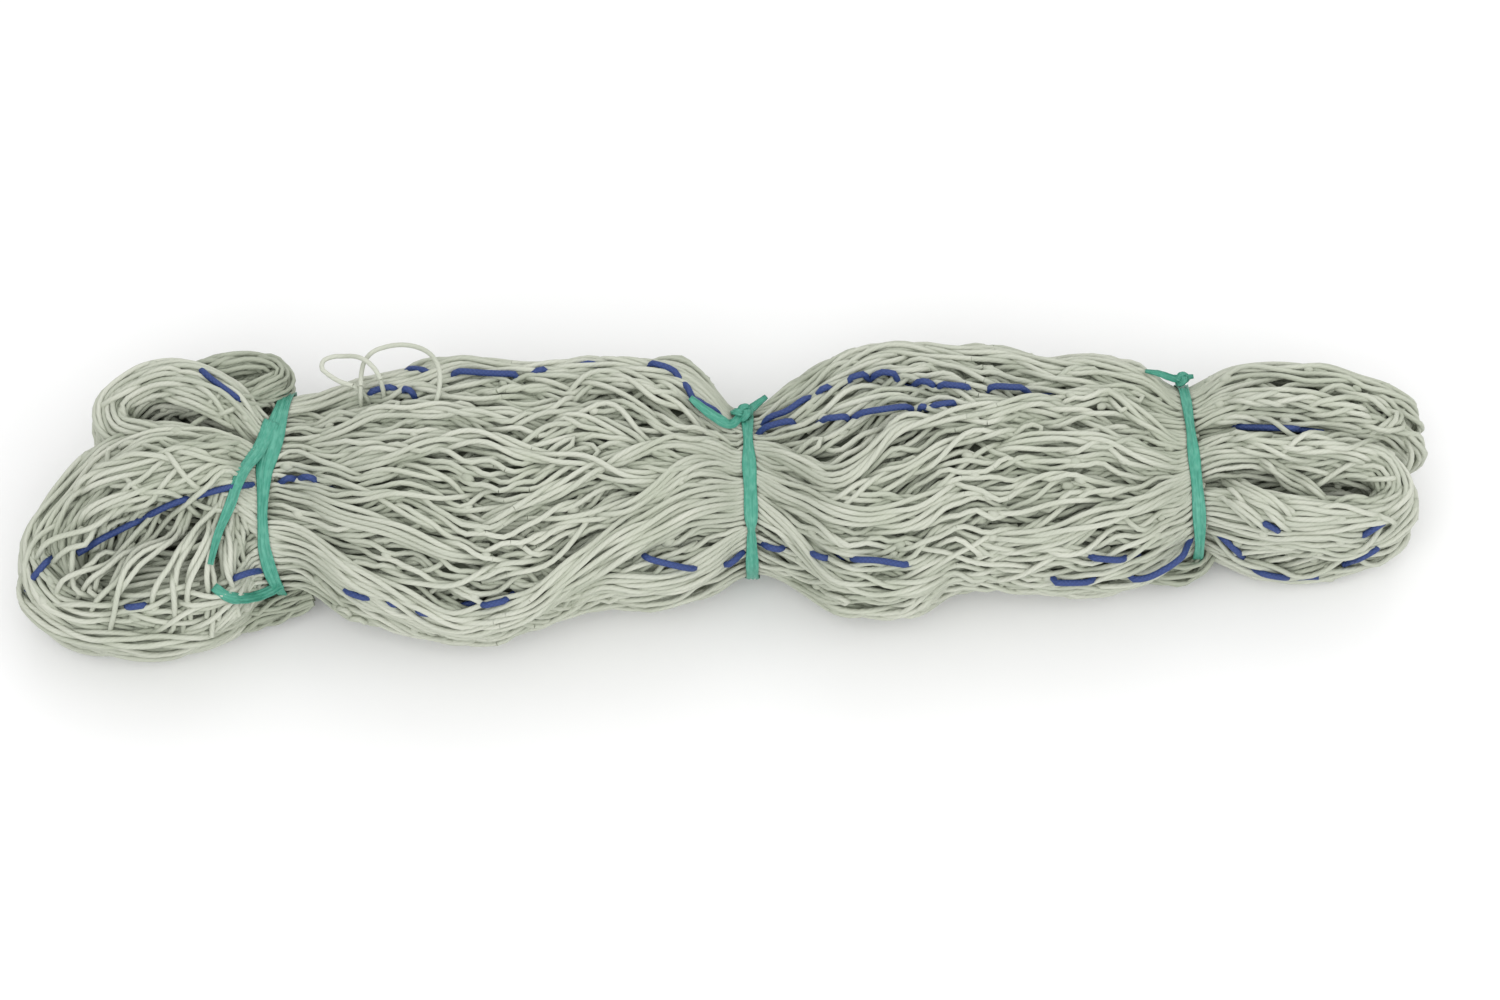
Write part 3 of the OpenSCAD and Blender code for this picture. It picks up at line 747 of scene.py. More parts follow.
def end_locks(loops, locks, group, seed):
    """Locks of strands laid over a folded end."""
    rng = np.random.default_rng(seed)
    for width, count, lift, rows in locks:
        line, s = route(on_end(loops, rows))
        along = unit(np.gradient(line, axis=0))
        out = square_to(UPWARD, along)
        side = np.cross(out, along)
        for k in range(count):
            place = (k + 0.5) / count * 2 - 1
            first, last = rng.uniform(0, 9), rng.uniform(0, 15)
            ends = ease((s - first) / 20) * ease((s[-1] - last - s) / 22)
            sway = place * width / 2 * (0.25 + 0.75 * ends) + wander(rng, s, 2, 80, 34, 1.3)
            deep = -13 + (13 + lift * (1 - 0.5 * place**2)) * ends
            add(line + side * sway[:, None] + out * deep[:, None], out, rng.uniform(0, 1), group)


def end_strays(group, count, seed):
    """Single strands that cross the others on a folded end at a slant and dive at both ends."""
    rng = np.random.default_rng(seed)
    own = [strand.points for strand in strands if strand.group == group and len(strand.points) > 24]
    cloud = np.concatenate(own)
    high = slant_height(cloud[:, 1], cloud[:, 2])
    for _ in range(count):
        model = own[rng.integers(len(own))]
        long = int(rng.integers(9, 20))
        first = int(rng.integers(2, len(model) - long - 1)) if len(model) > long + 4 else 0
        piece = model[first : first + long]
        rows = np.stack([piece[:, 0], slant_height(piece[:, 1], piece[:, 2])], -1)
        turn = radians(rng.normal(0, 16))
        slanted = np.array([[cos(turn), sin(turn)], [-sin(turn), cos(turn)]])
        rows = (rows - rows.mean(0)) @ slanted + rows.mean(0)
        rows[:, 1] += wander(rng, np.arange(len(piece)) * STEP, 2, 60, 26, 1.6)
        if max(np.hypot(cloud[:, 0] - x, high - v).min() for x, v in rows) > 2.5:
            continue
        dive = 8 * np.abs(np.linspace(-1, 1, len(piece))) ** 3
        add(drape(cloud, rows, 1.4 - dive), FACING, rng.uniform(0, 1), group)


def on_top(t, shown, blur, early):
    """1 where a border cord lies on top, 0 where it is under the netting, at shares t of its way."""
    top = 0 * t
    for first, last in shown:
        top = np.maximum(top, ease((t - first) / blur + early) * ease((last - t) / blur + early))
    return top


def lobe_cords(lobe, cords, group):
    """Border cords that run on top of a lobe for some stretches and dive between its folds for the rest."""
    for line, shown in cords:
        line = np.array(line, float)
        t = np.linspace(line[0, 0], line[-1, 0], int((line[-1, 0] - line[0, 0]) * lobe.length / STEP) + 2)
        share = smooth(line[:, 0], face(line[:, 1]), t)
        points, out = lobe.place(lobe.start + t * lobe.length, share, -1.8)
        sunk = 10.5 * (1 - on_top(t, shown, 0.02, 0.7))
        add(points - unit(FACING + 1.6 * out) * sunk[:, None], out, 0, group, BORDER_R, True)


def end_cords(cords, group):
    """The same on a folded end, laid over the strands that are already there."""
    cloud = np.concatenate([strand.points for strand in strands if group.startswith(strand.group)])
    for rows, shown in cords:
        padded, s = route([(x, height, 0) for x, height in rows])
        line = drape(cloud, padded[:, :2], -8 + 9.8 * on_top(s / s[-1], shown, 0.1, 0.5))
        add(line, unit(UPWARD), 0, group, BORDER_R, True)


WAISTS = [(TIE_1, left_middle, left_middle.start), (TIE_2, left_middle, left_middle.end),
          (TIE_3, right_middle, right_middle.end)]


def waist(lobe, x):
    """Middle y, half width, half height and middle z at one place."""
    return [v[0] for v in lobe.section(np.array([x]))]


def hold_in_ties(points, radius, outside):
    """Keeps the strands inside each tie's tape."""
    for tie, lobe, x in WAISTS:
        near = (np.abs(points[:, 0] - tie[0]) < 16) & ~outside
        y, a, b, z = waist(lobe, x)
        held = points[near]
        spare = -radius[near] - 0.4 + 0.022 * np.abs(held[:, 0] - tie[0]) ** 2.2
        across, up = (held[:, 1] - y) / (a + spare), (held[:, 2] - z) / (b + spare)
        size = (np.abs(across) ** SQUARENESS + np.abs(up) ** SQUARENESS) ** (1 / SQUARENESS)
        scale = np.minimum(1, 1 / np.maximum(size, 1e-6))
        held[:, 1] = y + (held[:, 1] - y) * scale
        held[:, 2] = z + (held[:, 2] - z) * scale
        points[near] = held
    return points


def lean_ties(points):
    """Slants the netting at each tie the way its tape leans."""
    points = points.copy()
    for number, (tie, lobe, x) in enumerate(WAISTS, 1):
        y, a, b, z = waist(lobe, x)
        tall = 1.04 * np.hypot(a * sin(LOOK_DOWN), b * cos(LOOK_DOWN))
        height = ((points[:, 1] - y) * sin(LOOK_DOWN) + (points[:, 2] - z) * cos(LOOK_DOWN)) / tall
        lean = np.array(LEANS[number], float)
        shift = np.interp(height, lean[:, 0], lean[:, 1])
        points[:, 0] += shift * np.exp(-(((points[:, 0] - tie[0]) / 26) ** 2))
    return points


# --- settling: touching strands are pushed apart ---
def near_pairs(points, reach):
    """Index pairs of points nearer to each other than reach."""
    cell = np.floor((points - points.min(0)) / reach).astype(np.int64) + 1
    size = cell.max(0) + 2
    key = (cell[:, 0] * size[1] + cell[:, 1]) * size[2] + cell[:, 2]
    order = np.argsort(key, kind="stable")
    found, first, count = np.unique(key[order], return_index=True, return_counts=True)
    here = np.arange(len(points))
    pairs = []
    for dx, dy, dz in list(product((-1, 0, 1), repeat=3))[:14]:
        want = key + (dx * size[1] + dy) * size[2] + dz
        slot = np.minimum(np.searchsorted(found, want), len(found) - 1)
        held = np.where(found[slot] == want, count[slot], 0)
        for k in range(held.max(initial=0)):
            i = here[held > k]
            j = order[first[slot[i]] + k]
            if (dx, dy, dz) == (0, 0, 0):
                i, j = i[j > i], j[j > i]
            gap = points[i] - points[j]
            close = np.einsum("ij,ij->i", gap, gap) < reach * reach
            pairs.append((i[close], j[close]))
    return [np.concatenate(side) for side in zip(*pairs)]


def settle(points, rounds):
    """Moves the points of touching strands apart, a little each round, and keeps them above the floor."""
    home = points.copy()
    same_strand = np.concatenate([[False], strand[1:] == strand[:-1]])
    after = np.concatenate([same_strand[1:], [False]])
    free = np.where(fixed, 0.0, 1.0)
    for _ in range(rounds):
        i, j = near_pairs(points, 2.0 * radius.max())
        apart = (strand[i] != strand[j]) | (np.abs(step_on[i] - step_on[j]) > 4)
        i, j = i[apart], j[apart]
        gap = points[i] - points[j]
        size = np.maximum(np.linalg.norm(gap, axis=1), 1e-3)
        push = np.maximum(0.97 * (radius[i] + radius[j]) - size, 0)
        share = free[i] / np.maximum(free[i] + free[j], 1)
        move = np.zeros_like(points)
        for axis in range(3):
            pull = gap[:, axis] / size * push
            move[:, axis] += np.bincount(i, pull * share, len(points))
            move[:, axis] -= np.bincount(j, pull * (1 - share) * free[j], len(points))
        shift = points + 0.55 * move - home
        before = np.where(same_strand[:, None], np.roll(shift, 1, 0), shift)
        behind = np.where(after[:, None], np.roll(shift, -1, 0), shift)
        shift = 0.6 * shift + 0.2 * (before + behind)
        far = np.linalg.norm(shift, axis=1, keepdims=True)
        shift *= np.minimum(1, 6.0 / np.maximum(far, 1e-6)) * free[:, None]
        points = home + shift
        points = np.where(fixed[:, None], points, hold_in_ties(points.copy(), radius, outside))
        points[:, 2] = np.maximum(points[:, 2], radius + 0.05)
    return points


def hiddenness(points, out, reach=7.0):
    """How much twine lies over each point, from 0 at the surface to 1 deep down: the mask of the painted
    shade on buried twine.
    """
    i, j = near_pairs(points, reach)
    gap = points[j] - points[i]
    over = np.bincount(i, np.einsum("ij,ij->i", gap, out[i]) > 1.6, len(points))
    over = over + np.bincount(j, np.einsum("ij,ij->i", -gap, out[j]) > 1.6, len(points))
    return 1 - np.exp(-over / 9.0)


fill(left_middle, LOBE_STYLE, "left_middle", 11, LAYERS, ROUND)
fill(right_middle, LOBE_STYLE, "right_middle", 12, LAYERS, ROUND)
lay_locks(left_middle, LEFT_LOCKS, "left_middle", 31)
lay_locks(right_middle, RIGHT_LOCKS, "right_middle", 32)
lay_strays(left_middle, 130, "left_middle", 41)
lay_strays(right_middle, 130, "right_middle", 42)
lay_curls(left_middle, LEFT_CURLS, "left_middle", 51)
lay_curls(right_middle, RIGHT_CURLS, "right_middle", 52)
fill_loop(left_main_loop, "left_end", 21)
fill_loop(left_back_loop, "left_end", 22)
fill_loop(Loop(LEFT_OVERHANG, LEVEL), "left_end", 25, outside=True)
fill_loop(Loop(LEFT_POCKET, LEVEL), "left_end", 26, layers=2, outside=True)
fill_loop(Loop(RIGHT_POCKET, LEVEL), "right_middle", 27, layers=2, outside=True)
fill_loop(right_back_loop, "right_end", 23)
fill_loop(right_front_loop, "right_end", 24)
lay_fan("left_end", 61)
end_locks([left_main_loop, left_back_loop], LEFT_END_LOCKS, "left_end", 62)
end_locks([right_back_loop, right_front_loop], RIGHT_END_LOCKS, "right_end", 63)
end_strays("left_end", 34, 64)
end_strays("right_end", 34, 65)
lobe_cords(left_middle, LEFT_CORDS, "left_middle_cord")
lobe_cords(right_middle, RIGHT_CORDS, "right_middle_cord")
end_cords(LEFT_END_CORDS, "left_end_cord")
end_cords(RIGHT_END_CORDS, "right_end_cord")
for name, rows in (("loose_twine_left", LOOP_LEFT), ("loose_twine_right", LOOP_RIGHT)):
    add(route(rows)[0], (0, -0.3, 1.0), 0.5, name, LOOP_R, True)
for rows in LOOP_ROOTS:
    add(route(rows, 2.0)[0], (0, -0.3, 1.0), 0.5, "left_middle", LOOP_R, True)

sizes = [len(s.points) for s in strands]
starts = np.concatenate([[0], np.cumsum(sizes)])[:-1]
strand = np.repeat(np.arange(len(sizes)), sizes)
step_on = np.concatenate([np.arange(n) for n in sizes])
fixed, outside, radius, loose = (
    np.repeat(values, sizes)
    for values in ([s.fixed for s in strands], [s.outside for s in strands], [s.radius for s in strands],
                   [s.group.startswith("loose") for s in strands])
)
points = settle(np.concatenate([s.points for s in strands]), 24)
# Painted shade: twine that lies deep under other strands is coloured greyer and greener by this mask.
hidden = hiddenness(points, np.concatenate([s.out for s in strands]))
# The folds that hang outside the ties get more of this painted shade, so they come out darker and greener.
hidden = np.where(outside, 0.7 + 0.3 * hidden, hidden)
near_tie = sum(np.exp(-(((points[:, 0] - tie[0]) / 13) ** 2)) for tie in (TIE_1, TIE_2, TIE_3))
girth = radius * np.where(fixed, 1, 1 - 0.2 * np.clip(near_tie, 0, 1))
points = np.where(loose[:, None], points, lean_ties(points))


# --- from strands to meshes ---
def mesh_of(name, verts, edges=(), faces=(), **values):
    """A mesh from points in millimetres, with a value for each point under each name."""
    mesh = bpy.data.meshes.new(name)
    mesh.from_pydata((np.asarray(verts) * MM).tolist(), edges, faces)
    for label, held in values.items():
        held = np.asarray(held, np.float32)
        kind, field = ("FLOAT", "value") if held.ndim == 1 else ("FLOAT_VECTOR", "vector")
        mesh.attributes.new(label, kind, "POINT").data.foreach_set(field, held.ravel())
    return mesh


def chains(name, parts, tones):
    """An object of edges only, one chain for each part: indices into the points."""
    chosen = np.concatenate(parts)
    sizes = [len(p) for p in parts]
    edges = np.stack([np.arange(len(chosen) - 1), np.arange(1, len(chosen))], -1)
    edges = np.delete(edges, np.cumsum(sizes)[:-1] - 1, axis=0)
    along = np.concatenate([np.arange(n) * STEP for n in sizes]) + np.repeat(np.arange(len(sizes)) * 7.3,
                                                                             sizes)
    mesh = mesh_of(name, points[chosen], edges.tolist(), along=along, hidden=hidden[chosen],
                   tone=np.repeat(tones, sizes), girth=girth[chosen] * MM)
    return new_object(name, mesh)


class Tree:
    """A small helper that adds nodes to a tree and links them."""

    def __init__(self, tree):
        self.tree = tree

    def node(self, kind, settings=(), *in_order, **named):
        made = self.tree.nodes.new(kind)
        for key, value in dict(settings).items():
            setattr(made, key, value)
        for socket, value in zip(made.inputs, in_order):
            if value is not None:
                self.feed(socket, value)
        for key, value in named.items():
            self.feed(made.inputs[key.replace("_", " ")], value)
        return made

    def feed(self, socket, value):
        if isinstance(value, bpy.types.Node):
            value = value.outputs[0]
        if isinstance(value, bpy.types.NodeSocket):
            self.tree.links.new(value, socket)
        else:
            socket.default_value = (*value, 1) if socket.type == "RGBA" else value


def new_tree(name, kind, inputs, outputs):
    """An empty tree with named sockets: the tree, a helper to fill it, and its inputs."""
    tree = bpy.data.node_groups.new(name, kind)
    for label, sort, *default in inputs:
        made = tree.interface.new_socket(label, in_out="INPUT", socket_type="NodeSocket" + sort)
        if default:
            made.default_value = default[0]
    for label, sort in outputs:
        tree.interface.new_socket(label, in_out="OUTPUT", socket_type="NodeSocket" + sort)
    t = Tree(tree)
    return tree, t, t.node("NodeGroupInput").outputs


def twine_tree():
    """Sweeps a round twine along every chain, with the way round it stored for the lay of its yarns."""
    tree, t, given = new_tree(
        "twine along strands", "GeometryNodeTree",
        [("Geometry", "Geometry"), ("Sides", "Int", 6), ("Spacing", "Float", 0.005),
         ("Material", "Material")],
        [("Geometry", "Geometry")],
    )
    curve = t.node("GeometryNodeMeshToCurve", Mesh=given["Geometry"])
    spaced = t.node("GeometryNodeResampleCurve", {"mode": "LENGTH"}, Curve=curve, Length=given["Spacing"])
    ring = t.node("GeometryNodeCurvePrimitiveCircle", Resolution=given["Sides"], Radius=1.0)
    marked = t.node("GeometryNodeStoreNamedAttribute", {"data_type": "FLOAT_VECTOR"}, Geometry=ring,
                    Name="around",
                    Value=t.node("GeometryNodeInputPosition"))
    girth = t.node("GeometryNodeInputNamedAttribute", Name="girth").outputs["Attribute"]
    tube = t.node("GeometryNodeCurveToMesh", Curve=spaced, Profile_Curve=marked, Scale=girth, Fill_Caps=True)
    soft = t.node("GeometryNodeSetShadeSmooth", Geometry=tube)
    real = t.node("GeometryNodeRealizeInstances", Geometry=soft)
    t.node("NodeGroupOutput", Geometry=t.node("GeometryNodeSetMaterial", Geometry=real,
                                              Material=given["Material"]))
    return tree


def knot_tree():
    """A small lumpy knot on every point, turned along its strand."""
    tree, t, given = new_tree(
        "knots on strands", "GeometryNodeTree",
        [("Geometry", "Geometry"), ("Size", "Float", 0.0024), ("Unevenness", "Float", 0.35),
         ("Seed", "Int", 3),
         ("Material", "Material")],
        [("Geometry", "Geometry")],
    )
    lump = t.node("GeometryNodeMeshUVSphere", Segments=9, Rings=6, Radius=1.0)
    noise = t.node("ShaderNodeTexNoise", {"noise_dimensions": "3D"},
                   Vector=t.node("GeometryNodeInputPosition"),
                   Scale=1.6, Detail=0.0).outputs["Color"]
    centred = t.node("ShaderNodeVectorMath", {"operation": "SUBTRACT"}, noise, (0.5, 0.5, 0.5))
    uneven = t.node("ShaderNodeVectorMath", {"operation": "SCALE"}, centred, Scale=given["Unevenness"])
    bumpy = t.node("GeometryNodeSetPosition", Geometry=lump, Offset=uneven)
    squeezed = t.node("GeometryNodeTransform", Geometry=bumpy, Scale=(1.35, 1.0, 0.9))
    aim = t.node("GeometryNodeInputNamedAttribute", {"data_type": "FLOAT_VECTOR"},
                 Name="aim").outputs["Attribute"]
    turned = t.node("FunctionNodeAlignRotationToVector", {"axis": "X"}, Vector=aim)
    chance = t.node("FunctionNodeRandomValue", {"data_type": "FLOAT"}, None, None, 0.8, 1.2,
                    Seed=given["Seed"])
    size = t.node("ShaderNodeMath", {"operation": "MULTIPLY"}, chance.outputs[1], given["Size"])
    spots = t.node("GeometryNodeMeshToPoints", Mesh=given["Geometry"])
    laid = t.node("GeometryNodeInstanceOnPoints", Points=spots, Instance=squeezed, Rotation=turned,
                  Scale=size)
    soft = t.node("GeometryNodeSetShadeSmooth",
                  Geometry=t.node("GeometryNodeRealizeInstances", Geometry=laid))
    t.node("NodeGroupOutput", Geometry=t.node("GeometryNodeSetMaterial", Geometry=soft,
                                              Material=given["Material"]))
    return tree


def run_tree(thing, tree, **values):
    """Runs a Geometry Nodes tree on an object and leaves the result as its plain mesh."""
    modifier = thing.modifiers.new("build", "NODES")
    modifier.node_group = tree
    for socket in tree.interface.items_tree:
        if socket.in_out == "INPUT" and socket.name in values:
            modifier[socket.identifier] = values[socket.name]
    bpy.context.view_layer.update()
    seen = thing.evaluated_get(bpy.context.evaluated_depsgraph_get())
    result = bpy.data.meshes.new_from_object(seen)
    thing.modifiers.remove(modifier)
    thing.data = result
    thing.data.materials.clear()
    thing.data.materials.append(values["Material"])


# --- materials ---
def simple_material(name, colour, rough):
    material = bpy.data.materials.new(name)
    material.use_nodes = True
    shader = material.node_tree.nodes["Principled BSDF"]
    shader.inputs["Base Color"].default_value = (*colour, 1)
    shader.inputs["Roughness"].default_value = rough
    return material, Tree(material.node_tree)


def attribute(t, name, kind="Fac"):
    return t.node("ShaderNodeAttribute", {"attribute_name": name}).outputs[kind]


def sum_of(t, operation, *values):
    return t.node("ShaderNodeMath", {"operation": operation}, *values).outputs[0]


def blend_colour(t, factor, one, two):
    settings = {"data_type": "RGBA", "blend_type": "MIX"}
    return t.node("ShaderNodeMix", settings, factor, *[None] * 5, one, two).outputs[2]


def between(t, value, low, high, **settings):
    """0 below low, 1 above high."""
    return t.node("ShaderNodeMapRange", settings, Value=value, From_Min=low, From_Max=high).outputs[0]


def lay_group():
    """The lay of yarns round a twine or braid: height, and a mask of the grooves between yarns, which the
    materials use for painted shade.

    Yarns is how many go round, Pitch the millimetres they take for one turn, and Braid mixes in yarns
    laid the other way."""
    tree, t, given = new_tree(
        "lay of yarns", "ShaderNodeTree",
        [("Yarns", "Float", 3.0), ("Pitch", "Float", 12.0), ("Braid", "Float", 0.0)],
        [("Height", "Float"), ("Groove", "Float")],
    )
    parts = t.node("ShaderNodeSeparateXYZ", Vector=attribute(t, "around", "Vector")).outputs
    angle = sum_of(t, "MULTIPLY", sum_of(t, "ARCTAN2", parts[1], parts[0]), given["Yarns"])
    turn = sum_of(t, "MULTIPLY", sum_of(t, "DIVIDE", attribute(t, "along"), given["Pitch"]), tau)
    turn = sum_of(t, "MULTIPLY", turn, given["Yarns"])
    one, two = (
        sum_of(t, "ABSOLUTE", sum_of(t, "SINE", sum_of(t, "MULTIPLY", sum_of(t, way, angle, turn), 0.5)))
        for way in ("ADD", "SUBTRACT")
    )
    both = sum_of(t, "MULTIPLY", one, two)
    height = t.node("ShaderNodeMix", {"data_type": "FLOAT"}, given["Braid"], None, one, both).outputs[0]
    groove = sum_of(t, "POWER", sum_of(t, "SUBTRACT", 1.0, height), 3.0)
    t.node("NodeGroupOutput", Height=height, Groove=groove)
    return tree


def wear_group():
    """Slow and fine changes of shade along a strand or strip: two masks."""
    tree, t, given = new_tree(
        "wear along the length", "ShaderNodeTree",
        [("Slow", "Float", 0.02), ("Fine", "Float", 0.6), ("Across", "Float", 0.0)],
        [("Patches", "Float"), ("Fibres", "Float")],
    )
    tone = sum_of(t, "MULTIPLY", attribute(t, "tone"), 31.0)
    made = []
    for label, detail in (("Slow", 2.0), ("Fine", 1.0)):
        along = sum_of(t, "MULTIPLY", attribute(t, "along"), given[label])
        way = t.node("ShaderNodeCombineXYZ", (), along, tone, given["Across"])
        made.append(t.node("ShaderNodeTexNoise", Vector=way, Scale=1.0, Detail=detail))
    t.node("NodeGroupOutput", Patches=made[0], Fibres=made[1])
    return tree


def dust_group():
    """Faint staining in patches that run through all the pieces: one mask."""
    tree, t, given = new_tree("faint staining", "ShaderNodeTree",
                              [("Scale", "Float", 18.0), ("Amount", "Float", 0.5)],
                              [("Mask", "Float")])
    where = t.node("ShaderNodeTexCoord").outputs["Object"]
    noise = t.node("ShaderNodeTexNoise", Vector=where, Scale=given["Scale"], Detail=3.0)
    spread = between(t, noise, 0.45, 0.68, interpolation_type="SMOOTHSTEP")
    t.node("NodeGroupOutput", Mask=sum_of(t, "MULTIPLY", spread, given["Amount"]))
    return tree


LAY, WEAR, DUST = lay_group(), wear_group(), dust_group()


def placed(t, tree, **values):
    return t.node("ShaderNodeGroup", {"node_tree": tree}, **values).outputs


def finish_with(t, colour, height, strength, distance, rough=None):
    shader = t.tree.nodes["Principled BSDF"]
    t.feed(shader.inputs["Base Color"], colour)
    if rough is not None:
        t.feed(shader.inputs["Roughness"], rough)
    t.feed(shader.inputs["Normal"], t.node("ShaderNodeBump", Strength=strength, Distance=distance,
                                           Height=height))


def netting_twine():
    """Off-white twine, with painted shade: greyer and greener where it lies deep, and darker in the grooves
    between its yarns.
    """
    material, t = simple_material("off-white netting twine", (0.45, 0.47, 0.39), 0.8)
    lay = placed(t, LAY, Yarns=3.0, Pitch=11.0)
    wear = placed(t, WEAR, Slow=0.022, Fine=0.7)
    dust = placed(t, DUST, Scale=22.0, Amount=0.45)
    shade = sum_of(t, "MULTIPLY_ADD", attribute(t, "tone"), 0.3, wear["Patches"])
    colour = blend_colour(t, shade, (0.42, 0.447, 0.367), (0.565, 0.58, 0.5))
    colour = blend_colour(t, dust["Mask"], colour, (0.4, 0.435, 0.337))
    # Painted shade: greyer and greener where the twine lies deep under other strands.
    colour = blend_colour(t, attribute(t, "hidden"), colour, (0.305, 0.335, 0.257))
    # Painted shade in the grooves between the yarns.
    colour = blend_colour(t, sum_of(t, "MULTIPLY", lay["Groove"], 0.16), colour, (0.24, 0.26, 0.2))
    finish_with(t, colour, sum_of(t, "MULTIPLY_ADD", wear["Fibres"], 0.3, lay["Height"]), 0.35, 0.0004)
    return material


def border_cord():
    """Dark blue braid, with painted shade in the grooves between its yarns."""
    material, t = simple_material("blue border cord", (0.022, 0.052, 0.2), 0.65)
    lay = placed(t, LAY, Yarns=4.0, Pitch=9.0, Braid=1.0)
    wear = placed(t, WEAR, Slow=0.04, Fine=0.8)
    colour = blend_colour(t, wear["Patches"], (0.012, 0.034, 0.15), (0.034, 0.07, 0.23))
    # Painted shade in the grooves between the braid's yarns.
    colour = blend_colour(t, sum_of(t, "MULTIPLY", lay["Groove"], 0.5), colour, (0.008, 0.018, 0.09))
    rough = sum_of(t, "MULTIPLY_ADD", wear["Fibres"], 0.2, 0.5)
    finish_with(t, colour, lay["Height"], 0.5, 0.0004, rough)
    return material


def tie_tape():
    """Green plastic tape with fine ribs along it and paler streaks where it is creased."""
    material, t = simple_material("green tie tape", (0.055, 0.29, 0.2), 0.45)
    across = attribute(t, "across")
    wear = placed(t, WEAR, Slow=0.05, Fine=0.25, Across=sum_of(t, "MULTIPLY", across, 2.2))
    streak = between(t, wear["Fibres"], 0.42, 0.7)
    colour = blend_colour(t, wear["Patches"], (0.03, 0.235, 0.165), (0.075, 0.36, 0.255))
    colour = blend_colour(t, sum_of(t, "MULTIPLY", streak, 0.45), colour, (0.16, 0.46, 0.35))
    edge = sum_of(t, "POWER", sum_of(t, "ABSOLUTE", across), 6.0)
    colour = blend_colour(t, sum_of(t, "MULTIPLY", edge, 0.35), colour, (0.02, 0.18, 0.12))
    ribs = sum_of(t, "SINE", sum_of(t, "MULTIPLY", across, 26.0))
    rough = sum_of(t, "MULTIPLY_ADD", wear["Fibres"], 0.3, 0.28)
    finish_with(t, colour, sum_of(t, "MULTIPLY_ADD", ribs, 0.35, wear["Fibres"]), 0.5, 0.0003, rough)
    return material


def inner_netting():
    """A dark solid for the strands packed deep in the hank, seen through gaps: painted shade, in streaks
    along it.
    """
    material, t = simple_material("packed inner netting in painted shade", (0.2, 0.22, 0.165), 0.95)
    where = t.node("ShaderNodeTexCoord").outputs["Object"]
    drawn = t.node("ShaderNodeMapping", Vector=where, Scale=(40.0, 260.0, 260.0))
    noise = t.node("ShaderNodeTexNoise", Vector=drawn, Scale=1.0, Detail=2.0).outputs[0]
    finish_with(t, blend_colour(t, noise, (0.1, 0.115, 0.08), (0.3, 0.33, 0.25)), noise, 0.6, 0.001)
    return material


twine, blue, green, inner = netting_twine(), border_cord(), tie_tape(), inner_netting()

# --- pieces of netting and cord: each lobe is cut in two near its middle, so that every piece holds one tie ---
cut_rng = np.random.default_rng(77)
parts = {}
for k, (first, size) in enumerate(zip(starts, sizes)):
    group, whole = strands[k].group, first + np.arange(size)
    if "middle" not in group:
        parts.setdefault(group, []).append((whole, strands[k].tone))
        continue
    lobe = left_middle if group.startswith("left") else right_middle
    middle = lobe.middle + (cut_rng.uniform(-14, 14) if "cord" not in group else 0)
    far_half = points[whole, 0] > middle
    cut = max(min(int(far_half.argmax()), len(whole) - 3), 3)
    if far_half.all() or not far_half.any():
        halves = {"_b" if far_half.all() else "_a": whole}
    else:
        halves = {"_a": whole[: cut + 1], "_b": whole[cut:]}
    for half, held in halves.items():
        parts.setdefault(group + half, []).append((held, strands[k].tone))


def bend_with(thing, nodes=()):
    """Bakes the piece's placement into its mesh, and hides the frame's parts that the piece stands for."""
    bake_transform(thing)
    if nodes:
        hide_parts(*nodes)


def folds(start, numbers="123456"):
    return [n for n in frame["nodes"] if n.startswith(start + "_fold") and n[-1] in numbers]


STANDS_FOR = {
    "left_end": folds("left_end"), "right_end": folds("right_end"),
    "left_middle_a": folds("left_middle", "123") + ["waist_1"],
    "left_middle_b": folds("left_middle", "456") + ["waist_2"],
    "right_middle_a": folds("right_middle", "123"),
    "right_middle_b": folds("right_middle", "456") + ["waist_3"],
    "left_end_cord": ["side_cord_left_end_top", "side_cord_left_end_main"],
    "left_middle_cord_a": ["head_cord_left_middle"], "left_middle_cord_b": ["foot_cord_left_middle"],
    "right_middle_cord_a": ["head_cord_right_middle_high", "head_cord_right_middle_low"],
    "right_middle_cord_b": ["foot_cord_right_middle"],
    "right_end_cord": ["head_cord_right_end", "foot_cord_right_end"],
}
twines = twine_tree()
for group, held in parts.items():
    if group in STANDS_FOR:
        cord = "cord" in group
        thing = chains(group if cord else group + "_netting", [p for p, _ in held],
                       [tone for _, tone in held])
        run_tree(thing, twines, Sides=12 if cord else 6, Spacing=0.003 if cord else 0.0045,
                 Material=blue if cord else twine)
        bend_with(thing, STANDS_FOR[group])

# --- knots of the mesh, where they can be seen ---
knots_by_group = {}
for i, j, at in knots:
    here, there = starts[i] + at, starts[j] + at
    if hidden[here] < 0.55:
        middle = (points[here] + points[there]) / 2
        middle[2] = max(middle[2], 3.2)
        group = strands[i].group
        if "middle" in group:
            lobe = left_middle if group.startswith("left") else right_middle
            group += "_a" if middle[0] < lobe.middle else "_b"
        seen = (middle, points[here + 1] - points[here - 1], hidden[here], strands[i].tone)
        knots_by_group.setdefault(group, []).append(seen)
lumps = knot_tree()
for group, held in knots_by_group.items():
    at, aim, deep, tones = zip(*held)
    # The knots carry the same mask, so they are painted in the same shade.
    thing = new_object(group + "_knots", mesh_of(group + "_knots", at, aim=aim, hidden=deep, tone=tones))
    run_tree(thing, lumps, Size=0.0021, Unevenness=0.5, Seed=3, Material=twine)
    bend_with(thing)

for name in ("loose_twine_left", "loose_twine_right"):
    whole = parts[name][0][0]
    thing = chains(name + "_loop", [whole], [0.5])
    run_tree(thing, twines, Sides=12, Spacing=0.002, Material=twine)
    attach(thing, "left_middle")
    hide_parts(name)


